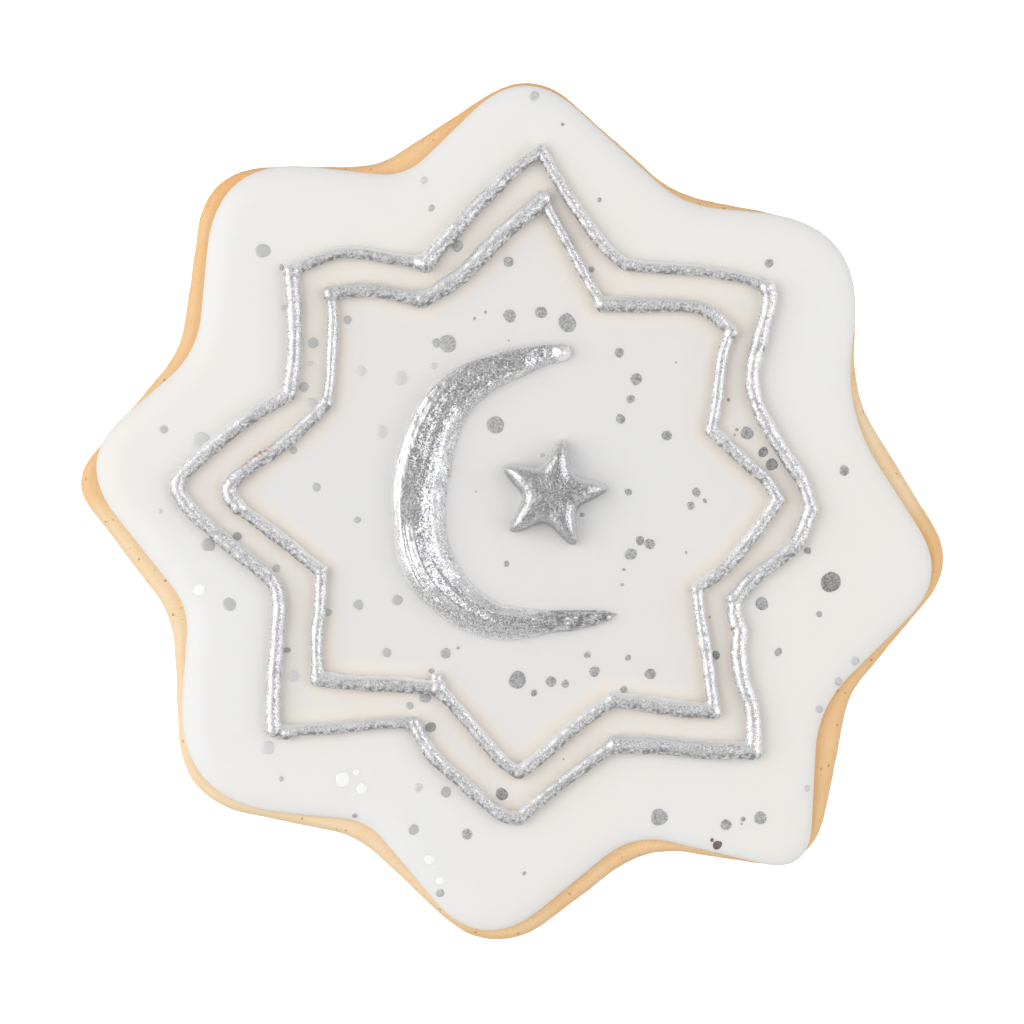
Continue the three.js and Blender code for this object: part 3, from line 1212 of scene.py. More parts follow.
    def paint(self, place: Vector, normal: Vector) -> float:
        """Painted light: lighter on upper flanks, and on outer flanks on the right half.

        Args:
            place: where it is asked, in millimetres.
            normal: the normal there.

        Returns:
            0 where no light is painted, more where it is lighter.
        """
        outward = (normal.x + self.outer_unevenness.at(place)) * self.right_half.at(place.x)
        return (self.flank_light.at(place, normal) + self.upper_flank_light.at(normal.y)
                + self.outer_flank_light.at(outward))

    def speckled_shade_mask(self, place: Vector, normal: Vector) -> float:
        """Where shade is painted: in dark specks on the lower flanks.

        Args:
            place: where it is asked, in millimetres.
            normal: the normal there.

        Returns:
            How dark the painted shade is, from 0 to 1.
        """
        flank = self.lower_flank_shade.at(normal.y + self.lower_unevenness.at(place))
        return flank * self.specks.at(self.speck_pattern.at(place))

    def tarnish(self, _place: Vector, _normal: Vector) -> float:
        """Where the paint has browned: nowhere."""
        return 0.0


@dataclass
class BrownedOutline(PipedOutline):
    """A piped outline whose paint has browned in flecks near its left point."""

    browned_from: Fade = Fade(-28.6, -27.4)
    browned_to: Fade = Fade(-24.9, -25.9, 0.75)
    browned_above: float = 3.0
    browned_lean: float = 0.4
    browned_flank: Fade = Fade(0.0, 0.5)
    fleck_pattern: Ripple = Ripple(0.4, 2.0)
    flecks: Fade = Fade(-0.15, 0.3)

    def tarnish(self, place: Vector, normal: Vector) -> float:
        """Where the paint has browned: in flecks on the upper flank of one stroke.

        Args:
            place: where it is asked, in millimetres.
            normal: the normal there.

        Returns:
            How far it has browned, from 0 to 1.
        """
        if place.y <= self.browned_above:
            return 0.0
        run = self.browned_from.at(place.x) * self.browned_to.at(place.x)
        flank = self.browned_flank.at(normal.y - self.browned_lean * normal.x)
        return run * flank * self.flecks.at(self.fleck_pattern.at(place))


OUTER_STROKES = (
    Stroke(2.05, 1.4, ((-9.05, 26.1), (-7.4, 28.1), (-3.35, 32.5), (0.7, 36.3), (3.0, 38.0))),
    Stroke(1.35, 1.3, ((3.0, 38.0), (4.8, 34.8), (7.6, 30.6), (10.0, 27.5), (12.0, 25.9))),
    Stroke(1.25, 1.1, ((12.0, 25.9), (15.5, 25.6), (19.7, 25.3), (23.9, 24.6), (26.8, 23.6))),
    Stroke(1.75, 1.45, ((26.8, 23.5), (27.0, 22.1), (26.0, 18.1), (25.2, 14.9), (25.6, 11.6),
                        (27.6, 7.6), (30.3, 3.4), (31.4, 0.3))),
    Stroke(1.6, 1.65, ((31.4, 0.3), (29.9, -3.1), (27.65, -5.15), (24.95, -7.2), (23.4, -9.2))),
    Stroke(1.5, 1.7, ((23.4, -9.2), (23.3, -10.6), (23.9, -12.4))),
    Stroke(1.75, 1.8, ((23.9, -12.4), (23.75, -14.9), (24.2, -17.7), (25.1, -20.5),
                       (25.35, -22.9), (25.3, -25.0))),
    Stroke(1.9, 2.0, ((25.3, -25.0), (19.7, -24.9), (15.5, -24.5), (10.8, -24.4))),
    Stroke(1.5, 1.35, ((10.8, -24.4), (9.4, -25.3), (5.3, -28.3), (2.0, -31.0), (0.7, -32.1))),
    Stroke(1.45, 1.45, ((0.7, -32.1), (-1.3, -31.6), (-5.4, -28.2), (-8.5, -25.3),
                        (-10.3, -22.1))),
    Stroke(1.25, 1.25, ((-10.3, -22.1), (-13.9, -22.2), (-20.2, -22.8), (-25.0, -22.85))),
    Stroke(1.6, 1.65, ((-25.0, -22.85), (-25.1, -19.7), (-24.6, -12.4), (-24.45, -9.3),
                       (-25.3, -7.1), (-28.6, -4.3), (-32.8, -0.7), (-34.7, 1.6), (-35.1, 2.8),
                       (-34.3, 4.3), (-30.5, 7.65), (-27.4, 10.05), (-23.4, 12.4))),
    Stroke(1.65, 1.7, ((-23.4, 12.4), (-22.9, 16.0), (-22.85, 20.2), (-23.15, 25.3))),
    Stroke(1.35, 1.3, ((-23.15, 25.3), (-20.2, 26.55), (-17.1, 27.25), (-12.9, 26.65),
                       (-9.05, 26.1))),
)

INNER_STROKES = (
    Stroke(1.75, 2.0, ((-9.5, 22.2), (-5.3, 24.85), (-1.1, 29.15), (3.25, 32.8))),
    Stroke(1.15, 1.15, ((3.2, 32.9), (5.6, 28.6), (7.9, 24.4), (9.5, 21.8))),
    Stroke(1.75, 1.35, ((9.5, 21.8), (13.4, 21.75), (19.7, 21.4), (22.9, 19.1))),
    Stroke(1.25, 1.25, ((22.9, 19.1), (22.0, 16.0), (21.5, 11.8), (20.9, 8.6))),
    Stroke(1.35, 1.4, ((20.9, 8.6), (24.15, 5.55), (26.6, 3.4), (27.9, 1.3))),
    Stroke(1.45, 1.4, ((27.9, 1.3), (26.35, -0.95), (22.9, -5.3), (19.4, -8.1))),
    Stroke(1.35, 1.35, ((19.4, -8.1), (19.8, -11.3), (20.5, -15.5), (21.2, -20.9))),
    Stroke(1.75, 1.75, ((21.2, -20.9), (17.6, -20.6), (13.4, -20.0), (10.6, -19.7))),
    Stroke(1.55, 1.5, ((10.6, -19.7), (7.1, -22.1), (2.9, -25.7), (0.7, -27.3))),
    Stroke(1.4, 1.4, ((0.7, -27.3), (-1.4, -25.8), (-5.5, -20.9), (-7.8, -18.5))),
    Stroke(1.7, 1.6, ((-7.8, -18.5), (-11.8, -18.1), (-16.0, -17.95), (-20.4, -17.45))),
    Stroke(1.35, 1.35, ((-20.4, -17.45), (-20.5, -13.4), (-20.2, -10.3), (-20.0, -6.2))),
    Stroke(1.45, 1.4, ((-20.0, -6.2), (-24.4, -2.7), (-28.4, 0.3))),
    Stroke(1.7, 1.5, ((-28.7, 0.5), (-29.7, 1.9), (-29.4, 3.1), (-27.4, 4.8), (-24.2, 7.05),
                      (-21.1, 9.8), (-19.5, 11.5))),
    Stroke(1.15, 1.15, ((-19.5, 11.5), (-19.1, 13.9), (-18.8, 20.2), (-19.1, 23.0))),
    Stroke(1.55, 1.65, ((-19.1, 23.0), (-16.0, 23.3), (-13.9, 23.2), (-9.5, 22.3))),
)

OUTER_BLOBS = ((-9.6, 26.2, 0.88), (12.3, 25.9, 0.75), (10.8, -24.3, 1.0), (25.2, -25.0, 1.0),
               (0.7, -32.1, 0.8), (-23.1, 25.2, 0.97), (23.5, -11.9, 0.76), (-23.7, -23.2, 0.72),
               (26.9, 23.2, 0.88), (23.25, -9.1, 0.86))
INNER_BLOBS = ((23.0, 18.8, 0.8), (-7.8, -18.5, 0.98), (-7.9, -17.3, 0.6), (-20.0, -6.2, 0.8),
               (-9.5, 22.3, 0.98), (3.2, 32.9, 0.8), (10.6, -19.7, 0.85), (-28.9, 0.8, 0.8),
               (21.1, -20.6, 0.85), (-19.0, 22.8, 0.8))


# ------------------------------------------------------------- built-up silver forms


@dataclass(frozen=True)
class Ridge:
    """A brushed ridge, or a groove if its height is negative, along the crescent."""

    start: float
    end: float
    side_at_start: float
    side_at_end: float
    width: float
    height: float
    end_power: float = 0.6

    def lift(self, share: float, side: float, half_width: float) -> float:
        """Height that the ridge adds.

        Args:
            share: how far along the crescent, from 0 to 1.
            side: how far across it, from -1 at its outer edge to 1 at its inner edge.
            half_width: half the crescent's width there.

        Returns:
            The height in millimetres.
        """
        if not self.start < share < self.end:
            return 0.0
        run = (share - self.start) / (self.end - self.start)
        middle = self.side_at_start * (1 - run) + self.side_at_end * run
        offset = (side - middle) * half_width / self.width
        return self.height * math.sin(math.pi * run) ** self.end_power * math.exp(-offset ** 2)


@dataclass(frozen=True)
class Lump:
    """A soft lump, or a hollow if its height is negative, on a built-up form."""

    x: float
    y: float
    radius: float
    height: float

    def lift(self, place: Vector) -> float:
        """Height that the lump adds at a place."""
        offset = math.hypot(place.x - self.x, place.y - self.y) / self.radius
        return self.height * math.exp(-offset ** 2)


@dataclass
class Crescent:
    """The crescent, built up with a brush in thick icing and painted silver."""

    base: float
    length_steps: int = 430
    width_steps: int = 64
    knot_steps: int = 24
    crest: float = 1.75
    broadest: float = 2.9
    sink: float = 0.25
    blunt_length: float = 0.022
    tip_length: float = 0.02
    least_width: float = 0.02
    least_half_width: float = 0.01
    edge_waves: Ripple = Ripple(2.2, 7.0, 0.035)
    edge_waves_along: float = 60.0
    lean: float = 0.1
    steep_power: float = 4.6
    slope_power: float = 2.4
    steep_root: float = 0.5
    slope_root: float = 0.25
    outer_steep: Fade = Fade(0.54, 0.4, 0.7)
    outer_slope: Fade = Fade(0.4, 0.56, 0.5)
    inner_slope: Fade = Fade(0.2, 0.32)
    inner_steep: Fade = Fade(0.6, 0.8, 0.4)
    reliefs: tuple[Relief, ...] = (Relief("crescent_lumps", 1.3, 0.16),
                                   Relief("crescent_grain", 0.24, 0.08))
    # Painted light on flanks that face up the design.
    flank_light: FlankLight = FlankLight()
    blob: Place = (5.3, 16.65)
    # Painted highlight on the blob at the blunt end.
    blob_highlight: Fade = Fade(1.0, 0.6, 0.8)
    tail_from: Fade = Fade(1.0, 6.0)
    # Where the painted shade specks along the tail begin.
    speckled_shade_from: Fade = Fade(1.5, 5.0)
    tail_below: Fade = Fade(-9.0, -10.5)
    # Painted shade along the tail.
    tail_shade: float = 0.6
    # A darker patch on the upper arm.
    upper_arm_above: Fade = Fade(10.0, 13.0)
    upper_arm_right_of: Fade = Fade(-9.0, -4.0)
    upper_arm_drop: float = 0.3
    # Painted light on the steep rim, and lighter at the far left.
    rim_light: Fade = Fade(0.6, 0.3, 0.45)
    left_lift: Fade = Fade(-10.0, -11.2, 0.25)
    speck_pattern: Ripple = Ripple(0.5, 6.0)
    specks: Fade = Fade(-0.25, 0.35, 0.6)
    lumps: tuple[Lump, ...] = (
        Lump(5.3, 16.65, 0.7, 0.55), Lump(3.9, 16.6, 0.3, -0.4), Lump(4.2, 15.8, 0.3, -0.35),
        Lump(5.2, 15.6, 0.3, -0.35), Lump(1.3, 15.4, 0.8, 0.22), Lump(-0.8, 13.9, 0.5, 0.22),
        Lump(-2.4, 12.9, 0.5, 0.2), Lump(-5.4, 10.6, 0.6, -0.2), Lump(6.2, -11.3, 0.45, 0.3),
        Lump(8.6, -11.0, 0.4, 0.2))
    spine: tuple[Corner, ...] = (
        (6.35, 16.85, 0.88), (5.0, 16.7, 0.97), (2.9, 16.4, 1.18), (0.8, 15.75, 1.57),
        (-1.3, 15.05, 1.8), (-3.9, 13.85, 2.08), (-6.3, 11.95, 2.4), (-8.2, 8.7, 2.7),
        (-9.4, 4.4, 2.88), (-9.85, 0.4, 2.8), (-9.45, -3.8, 2.78), (-7.9, -7.1, 2.73),
        (-5.3, -9.7, 2.31), (-2.3, -11.3, 1.94), (0.8, -11.7, 1.68), (3.9, -11.55, 1.22),
        (7.1, -11.3, 1.0), (9.4, -11.0, 0.66), (11.1, -10.7, 0.12))
    ridges: tuple[Ridge, ...] = (
        Ridge(0.08, 0.26, -0.2, 0.0, 0.4, 0.12),
        Ridge(0.10, 0.32, 0.5, 0.55, 0.3, 0.12),
        Ridge(0.14, 0.46, -0.35, -0.55, 0.4, 0.1),
        Ridge(0.18, 0.44, 0.0, 0.05, 0.45, -0.1),
        Ridge(0.30, 0.62, 0.5, 0.55, 0.4, 0.16),
        Ridge(0.33, 0.52, -0.85, -0.8, 0.2, -0.16),
        Ridge(0.44, 0.80, -0.7, -0.55, 0.3, 0.12),
        Ridge(0.50, 0.86, -0.5, -0.35, 0.2, -0.22),
        Ridge(0.50, 0.80, -0.2, -0.05, 0.26, 0.12),
        Ridge(0.58, 0.80, 0.2, 0.25, 0.2, -0.12),
        Ridge(0.60, 0.84, 0.4, 0.45, 0.25, 0.12),
        Ridge(0.74, 0.99, -0.3, -0.1, 0.26, -0.3),
        Ridge(0.74, 0.97, 0.4, 0.5, 0.3, 0.12),
    )

    def build(self, finish: bpy.types.Material) -> bpy.types.Object:
        """Models and dresses the crescent.

        Args:
            finish: the silver lustre.

        Returns:
            The finished piece.
        """
        deselect_all()
        bpy.ops.mesh.primitive_grid_add(x_subdivisions=self.length_steps,
                                        y_subdivisions=self.width_steps, size=2.0)
        piece = bpy.context.object
        piece.name = "silver_crescent"
        rows = self.rows()
        for vertex in piece.data.vertices:
            vertex.co = self.place_on(rows, (vertex.co.x + 1) / 2, vertex.co.y)
        self.give_depth(piece)
        for relief in self.reliefs:
            relief.press(piece)
        bpy.ops.object.shade_smooth()
        # Painted light and shade, with a painted highlight on the blob.
        paint_mask(piece, "painted_light_and_smoothing", self.paint)
        # Painted shade in dark specks along the tail.
        paint_mask(piece, "speckled_shade", self.speckled_shade_mask)
        return fit_piece(piece, finish, "crescent")

    def rows(self) -> list[tuple[Vector, Vector, float]]:
        """Lays even rows across the crescent, from its blunt end to its tip.

        Returns:
            The middle, the direction across and the half width of each row.
        """
        knots = [Vector(knot) for knot in self.spine]
        rows = []
        for point, run in spaced_along(curve_through(knots, lambda _start, _end: self.knot_steps),
                                       self.length_steps):
            ahead = run.xy.normalized()
            rows.append((Vector((point.x, point.y, 0.0)), Vector((-ahead.y, ahead.x, 0.0)),
                         point.z))
        return rows

    def place_on(self, rows: list[tuple[Vector, Vector, float]], share: float,
                 side: float) -> Vector:
        """Place of a grid point on the crescent.

        Args:
            rows: the rows across the crescent.
            share: how far along, from 0 at the blunt end to 1 at the tip.
            side: how far across, from -1 at the outer edge to 1 at the inner edge.

        Returns:
            The place in millimetres.
        """
        middle, across, half = rows[round(share * self.length_steps)]
        blunt = math.sqrt(max(0.0, 1 - (1 - min(1.0, share / self.blunt_length)) ** 2))
        tip = min(1.0, (1 - share) / self.tip_length)
        close = max(self.least_width, blunt * math.sqrt(max(0.0, tip)))
        edge = 1 + self.edge_waves.at(Vector((share * self.edge_waves_along, side, 0.0)))
        spread = math.sin(side * math.pi / 2) * half * close * edge
        place = middle + across * spread
        crest = self.crest * math.sqrt(half / self.broadest) * close
        dome = self.dome(share, side + self.lean * (1 - side * side))
        aside = spread / max(half, self.least_half_width)
        lift = sum(ridge.lift(share, aside, half) for ridge in self.ridges)
        lift += sum(lump.lift(place) for lump in self.lumps)
        place.z = self.base + crest * dome + lift * close * dome ** 0.5
        return place

    def dome(self, share: float, side: float) -> float:
        """Height across the crescent from 0 to 1: flat on top, its flanks steep or sloping.

        Args:
            share: how far along the crescent.
            side: how far across it, from -1 to 1.

        Returns:
            The share of the crest's height.
        """
        if side < 0:
            slope = self.outer_slope.at(share) - self.outer_steep.at(share)
        else:
            slope = self.inner_slope.at(share) * (1 - self.inner_steep.at(share))
        power = self.steep_power - self.slope_power * slope
        root = self.steep_root + self.slope_root * slope
        return max(0.0, 1 - abs(math.sin(side * math.pi / 2)) ** power) ** root

    def paint(self, place: Vector, normal: Vector) -> float:
        """Painted light and shade: a painted highlight on the blob at the blunt end, painted light
        on the upper flanks and the steep rim, painted shade along the tail, darker on the upper
        arm and lighter at the far left.

        Args:
            place: where it is asked, in millimetres.
            normal: the normal there.

        Returns:
            0 where nothing is painted, more where it is lighter, less where it is darker.
        """
        blob = self.blob_highlight.at((place.xy - Vector(self.blob)).length)
        tail = self.tail_from.at(place.x) * self.tail_below.at(place.y)
        unlifted = self.upper_arm_above.at(place.y) * self.upper_arm_right_of.at(place.x)
        rim = self.rim_light.at(normal.z) * (1 - tail)
        coat = self.flank_light.at(place, normal) + rim + self.left_lift.at(place.x)
        return max(blob, coat - self.tail_shade * tail - self.upper_arm_drop * unlifted)

    def speckled_shade_mask(self, place: Vector, _normal: Vector) -> float:
        """Where shade is painted: in dark specks along the tail."""
        tail = self.speckled_shade_from.at(place.x) * self.tail_below.at(place.y)
        return tail * self.specks.at(self.speck_pattern.at(place))

    def give_depth(self, piece: bpy.types.Object) -> None:
        """Closes the shell by drawing its rim down into the icing and filling it.

        Args:
            piece: the open shell.
        """
        select_only(piece)
        bpy.ops.object.mode_set(mode="EDIT")
        bpy.ops.mesh.select_mode(type="EDGE")
        bpy.ops.mesh.select_all(action="DESELECT")
        mesh = bmesh.from_edit_mesh(piece.data)
        for edge in mesh.edges:
            edge.select_set(edge.is_boundary)
        bpy.ops.mesh.extrude_region_move()
        mesh = bmesh.from_edit_mesh(piece.data)
        for vertex in mesh.verts:
            if vertex.select:
                vertex.co.z = self.base - self.sink
        bpy.ops.mesh.edge_face_add()
        bpy.ops.mesh.select_all(action="SELECT")
        bpy.ops.mesh.normals_make_consistent(inside=False)
        bpy.ops.object.mode_set(mode="OBJECT")


@dataclass
class PuffyStar:
    """The small five-pointed star, domed like a cushion."""

    base: float
    top: float
    middle: Place = (4.15, 1.9)
    tip: float = 7.3
    notch: float = 3.05
    tip_reach: float = 2.9
    notch_reach: float = 0.9
    turn: float = 6.0
    arms: int = 5
    points: int = 260
    rings: int = 44
    sink: float = 0.25
    waist: float = 0.985
    underside: float = 0.3
    side_power: float = 7.0
    side_root: float = 0.45
    crown: float = 0.1
    crown_power: float = 1.6
    roundness: float = 0.55
    roundness_power: float = 1.2
    plumpness: float = 0.75
    reliefs: tuple[Relief, ...] = (Relief("star_lumps", 1.5, 0.12, 1.0),
                                   Relief("star_grain", 0.24, 0.06, 1.0))
    # Painted light on flanks that face up the design.
    flank_light: FlankLight = FlankLight()
    # Painted light on the steep rim, and painted shade on the sides that face down the design.
    steep: Fade = Fade(0.6, 0.25)
    steep_light: float = 0.4
    lower_side_shade: Fade = Fade(-0.15, -0.55, 1.1)

    def build(self, finish: bpy.types.Material) -> bpy.types.Object:
        """Models and dresses the star.

        Args:
            finish: the silver lustre.

        Returns:
            The finished piece.
        """
        outline = rounded_outline(self.corners(), self.points)
        foot = self.base - self.sink
        solid = RingSolid("silver_star", self.ring(outline, self.underside, foot))
        solid.grow(self.ring(outline, self.waist, foot), self.ring(outline, self.waist, self.base))
        for index in range(1, self.rings):
            share = math.cos(math.pi / 2 * index / self.rings)
            height = self.base + (self.top - self.base) * self.rise(share)
            solid.grow(self.ring(outline, share, height))
        piece = solid.close(Vector((*self.middle, self.top)))
        for relief in self.reliefs:
            relief.press(piece)
        bpy.ops.object.shade_smooth()
        # Painted light round the rim and painted shade on the lower sides.
        paint_mask(piece, "painted_light_and_smoothing", self.paint)
        return fit_piece(piece, finish, "star")

    def corners(self) -> list[Corner]:
        """Corners of the star's outline round its own middle.

        Returns:
            Tips and notches in turn, each with the reach of its rounding.
        """
        corners = []
        for index in range(2 * self.arms):
            radius, reach = self.tip, self.tip_reach
            if index % 2:
                radius, reach = self.notch, self.notch_reach
            angle = math.radians(self.turn + 180 / self.arms * index)
            corners.append((radius * math.cos(angle), radius * math.sin(angle), reach))
        return corners

    def rise(self, share: float) -> float:
        """How far the dome has risen, from 0 to 1, where a ring has that share of its size."""
        side = max(0.0, 1 - share ** self.side_power) ** self.side_root
        return (1 - self.crown) * side + self.crown * (1 - share ** self.crown_power)

    def ring(self, outline: Sequence[Vector], share: float, height: float) -> list[Vector]:
        """The star's outline scaled down, rounder towards its middle.

        Args:
            outline: the outline round the star's own middle.
            share: its size, from 0 to 1.
            height: height of the ring.

        Returns:
            The ring, in its place on the icing.
        """
        roundness = self.roundness * (1 - share) ** self.roundness_power
        mean = (self.tip + self.notch) / 2 * self.plumpness
        ring = []
        for point in outline:
            even = point.normalized() * mean
            flat = point.lerp(even, roundness) * share
            ring.append(Vector((flat.x + self.middle[0], flat.y + self.middle[1], height)))
        return ring

    def paint(self, place: Vector, normal: Vector) -> float:
        """Painted light and shade: lighter round the steep rim, darker on the sides that face down
        the design.

        Args:
            place: where it is asked, in millimetres.
            normal: the normal there.

        Returns:
            0 where nothing is painted, more where it is lighter, less where it is darker.
        """
        side = self.steep_light - self.lower_side_shade.at(normal.y)
        return self.flank_light.at(place, normal) + self.steep.at(normal.z) * side


# --------------------------------------------------------------------- silver spatter


@dataclass
class Spatter:
    """Flicked drops of silver paint of one tone, each a low uneven dome."""

    tone: str
    dark: Colour
    bright: Colour
    metallic: float
    base: float
    drops: tuple[Corner, ...]
    shift: Place = (0.06, -0.03)
    height: float = 0.07
    sink: float = 0.12
    edge_across: Ripple = Ripple(0.8, 11.0, 0.12)
    edge_up: Ripple = Ripple(0.8, 17.0, 0.12)
    sides: int = 20
    turn: float = 2.4
    stretch: float = 0.08
    stretch_turn: float = 5.1
    # Painted light: drops lighter and smoother towards the left.
    lit_left: Fade = Fade(3.0, -22.0)

    def finish(self, effects: SharedEffects) -> bpy.types.Material:
        """The silver paint of this tone."""
        return SilverFinish(f"{self.tone}_spatter_paint", self.dark, self.bright, tilt=0.25,
                            metallic=self.metallic, flakes_per_m=7000.0).material(effects)

    def build(self, effects: SharedEffects, icing: bpy.types.Object) -> bpy.types.Object:
        """Models one drop, copies it to every place and dresses them together.

        Args:
            effects: the shared node groups.
            icing: the finished icing that the drops lie on.

        Returns:
            The finished piece.
        """
        pattern = self.one_drop()
        copies = [self.copy_drop(pattern, drop, index) for index, drop in enumerate(self.drops)]
        bpy.data.objects.remove(pattern)
        select_only(*copies)
        bpy.ops.object.join()
        piece = bpy.context.object
        piece.name = f"{self.tone}_spatter"
        bpy.ops.object.transform_apply(location=True, rotation=True, scale=True)
        self.lay_down(piece, icing)
        # Painted light: lighter towards the left.
        paint_mask(piece, "painted_light_and_smoothing", lambda place, _normal: self.lit_left.at(place.x))
        return fit_piece(piece, self.finish(effects), "icing")

    def one_drop(self) -> bpy.types.Object:
        """Models a dome of radius 1 whose skirt reaches below the icing.

        Returns:
            The dome, its edge at the origin's height.
        """
        circle = [Vector((math.cos(math.tau * index / self.sides),
                          math.sin(math.tau * index / self.sides), 0.0))
                  for index in range(self.sides)]
        levels = ((0.5, -self.sink), (0.96, -self.sink), (1.0, 0.0),
                  (0.93, 0.45 * self.height), (0.78, 0.75 * self.height),
                  (0.45, 0.95 * self.height))
        rings = [[Vector((point.x * share, point.y * share, height)) for point in circle]
                 for share, height in levels]
        solid = RingSolid("drop", rings[0])
        solid.grow(*rings[1:])
        return solid.close(Vector((0.0, 0.0, self.height)))

    def copy_drop(self, pattern: bpy.types.Object, drop: Corner, index: int) -> bpy.types.Object:
        """Copies the drop to one place.

        Args:
            pattern: the drop that is copied.
            drop: x, y and radius of the copy.
            index: its number, which turns it.

        Returns:
            The copy, with a mesh of its own.
        """
        x, y, radius = drop
        copy = pattern.copy()
        copy.data = pattern.data.copy()
        bpy.context.scene.collection.objects.link(copy)
        copy.location = (x + self.shift[0], y + self.shift[1], self.base)
        copy.rotation_euler = (0.0, 0.0, self.turn * index)
        stretch = 1.0 + self.stretch * math.sin(index * self.stretch_turn)
        copy.scale = (radius * stretch, radius, 1.0)
        return copy

    def lay_down(self, piece: bpy.types.Object, icing: bpy.types.Object) -> None:
        """Makes every drop's edge uneven and lays it on the icing.

        Args:
            piece: the joined drops.
            icing: the finished icing.
        """
        for vertex in piece.data.vertices:
            place = vertex.co
            place = place + Vector((self.edge_across.at(place), self.edge_up.at(place), 0.0))
            above = Vector((place.x, place.y, 2 * self.base)) * MM
            found, hit, _, _ = icing.ray_cast(above, Vector((0.0, 0.0, -1.0)))
            if found:
                place.z += hit.z / MM - self.base
            vertex.co = place


GREY_DROPS = (
    (5.3, 40.7, 0.16), (-8.5, 31.9, 0.37), (9.2, 32.8, 0.26), (-5.8, 28.0, 0.63),
    (-26.2, 27.5, 0.73), (-24.3, 25.7, 0.32), (-0.4, 26.3, 0.58), (8.3, 25.5, 0.32),
    (26.9, 26.2, 0.47), (-17.3, 20.2, 0.42), (-0.3, 20.6, 0.63), (3.0, 21.0, 0.63),
    (5.7, 19.9, 1.0), (-4.0, 20.4, 0.16), (-2.9, 21.0, 0.16), (-20.9, 17.8, 0.53),
    (-6.8, 17.7, 0.94), (-8.0, 17.8, 0.5), (-0.4, 18.0, 0.1), (11.2, 16.8, 0.47),
    (17.2, 15.7, 0.1), (-21.9, 13.1, 0.53), (13.0, 14.0, 0.63), (12.4, 11.9, 0.42),
    (22.7, 11.8, 0.16), (11.3, 9.8, 0.47), (-1.8, 9.2, 0.89), (-36.6, 8.7, 0.47),
    (16.2, 8.1, 0.53), (23.5, 8.7, 0.21), (23.3, 8.1, 0.13), (24.6, 8.3, 0.63),
    (-23.0, 6.5, 0.37), (34.8, 4.4, 0.53), (-20.6, 2.6, 0.47), (12.2, 2.1, 0.37),
    (19.3, 2.1, 0.47), (20.2, 1.2, 0.21), (18.7, 0.7, 0.42), (7.3, -0.3, 0.26),
    (-16.3, -0.8, 0.37), (-31.9, -3.4, 0.68), (13.4, -3.0, 0.47), (14.4, -3.3, 0.53),
    (12.4, -4.4, 0.68), (18.2, -4.2, 0.16), (31.0, -4.0, 0.37), (-24.8, -5.9, 0.42),
    (-0.6, -5.4, 0.32), (11.7, -6.0, 0.16), (11.5, -7.6, 0.19), (-12.1, -9.2, 0.53),
    (-29.7, -9.7, 0.63), (-16.2, -9.7, 0.53), (26.2, -9.6, 0.73), (-19.4, -10.5, 0.47),
    (32.2, -10.7, 0.32), (20.7, -11.0, 0.1), (-13.2, -14.7, 0.47), (-7.0, -14.8, 0.58),
    (-5.7, -14.2, 0.19), (7.9, -15.0, 0.37), (12.1, -15.3, 0.32), (27.9, -14.7, 0.42),
    (-8.5, -16.7, 0.32), (8.6, -16.7, 0.58), (14.5, -17.0, 0.58), (0.5, -17.6, 0.89),
    (4.0, -17.8, 0.53), (5.5, -18.0, 0.42), (11.7, -18.6, 0.37), (2.2, -19.0, 0.34),
    (-9.2, -19.4, 0.63), (-10.8, -20.3, 0.37), (5.3, -25.9, 0.1), (-24.3, -28.0, 0.26),
    (-7.0, -29.4, 0.58), (15.4, -32.0, 0.89), (26.0, -32.1, 0.63), (24.2, -32.2, 0.26),
    (24.1, -32.7, 0.13), (22.4, -32.8, 0.63), (-10.4, -33.3, 0.53), (-4.8, -33.8, 0.53),
    (1.2, -37.9, 0.21), (-7.6, -40.0, 0.42))
DARK_DROPS = (
    (26.3, 6.3, 0.53), (27.2, 5.0, 0.63), (-28.9, -2.5, 0.47), (33.4, -7.3, 1.05),
    (-23.7, -14.5, 0.32), (21.4, -15.0, 0.42), (-8.6, -22.6, 0.58), (-1.1, -29.6, 0.68),
    (-16.6, -31.9, 0.26))
BROWN_DROPS = ((20.9, -34.45, 0.2), (21.5, -34.95, 0.5))
PALE_DROPS = (
    (2.3, 43.7, 0.53), (-9.3, 34.9, 0.42), (-24.2, 21.5, 0.32), (-21.2, 15.6, 0.26),
    (-15.9, 14.8, 0.47), (-11.7, 14.1, 0.73), (-8.2, 15.4, 0.37), (-21.1, 11.5, 0.53),
    (-13.7, 8.5, 0.63), (-32.7, 7.6, 0.84), (3.1, 6.0, 0.21), (-3.9, 2.2, 0.16),
    (-37.0, 0.1, 0.26), (36.0, -15.6, 0.47), (-23.0, -17.2, 0.58), (34.3, -17.8, 0.42),
    (32.2, -20.7, 0.42), (-25.7, -24.7, 0.73), (-9.9, -28.9, 0.42), (31.0, -29.0, 0.32))
# Painted glints: real flakes whose white stands in for the light they reflect.
GLINT_DROPS = (
    (-32.9, -8.2, 0.63), (-17.8, -28.1, 0.79), (-16.4, -27.3, 0.42), (-15.8, -29.0, 0.58),
    (-8.8, -36.5, 0.53), (-7.6, -38.7, 0.42))


# ----------------------------------------------------------------------------- studio


@dataclass(frozen=True)
class Softbox:
    """A broad soft light that looks at the middle of the cookie."""

    name: str
    place: tuple[float, float, float]
    size: tuple[float, float]
    power: float
    colour: Colour

    def build(self) -> None:
        """Hangs the light."""
        aim = -Vector(self.place)
        bpy.ops.object.light_add(type="AREA", location=self.place,
                                 rotation=aim.to_track_quat("-Z", "Y").to_euler())
        lamp = bpy.context.object
        lamp.name = self.name
        lamp.data.shape = "RECTANGLE"
        lamp.data.size, lamp.data.size_y = self.size
        lamp.data.energy = self.power
        lamp.data.color = self.colour


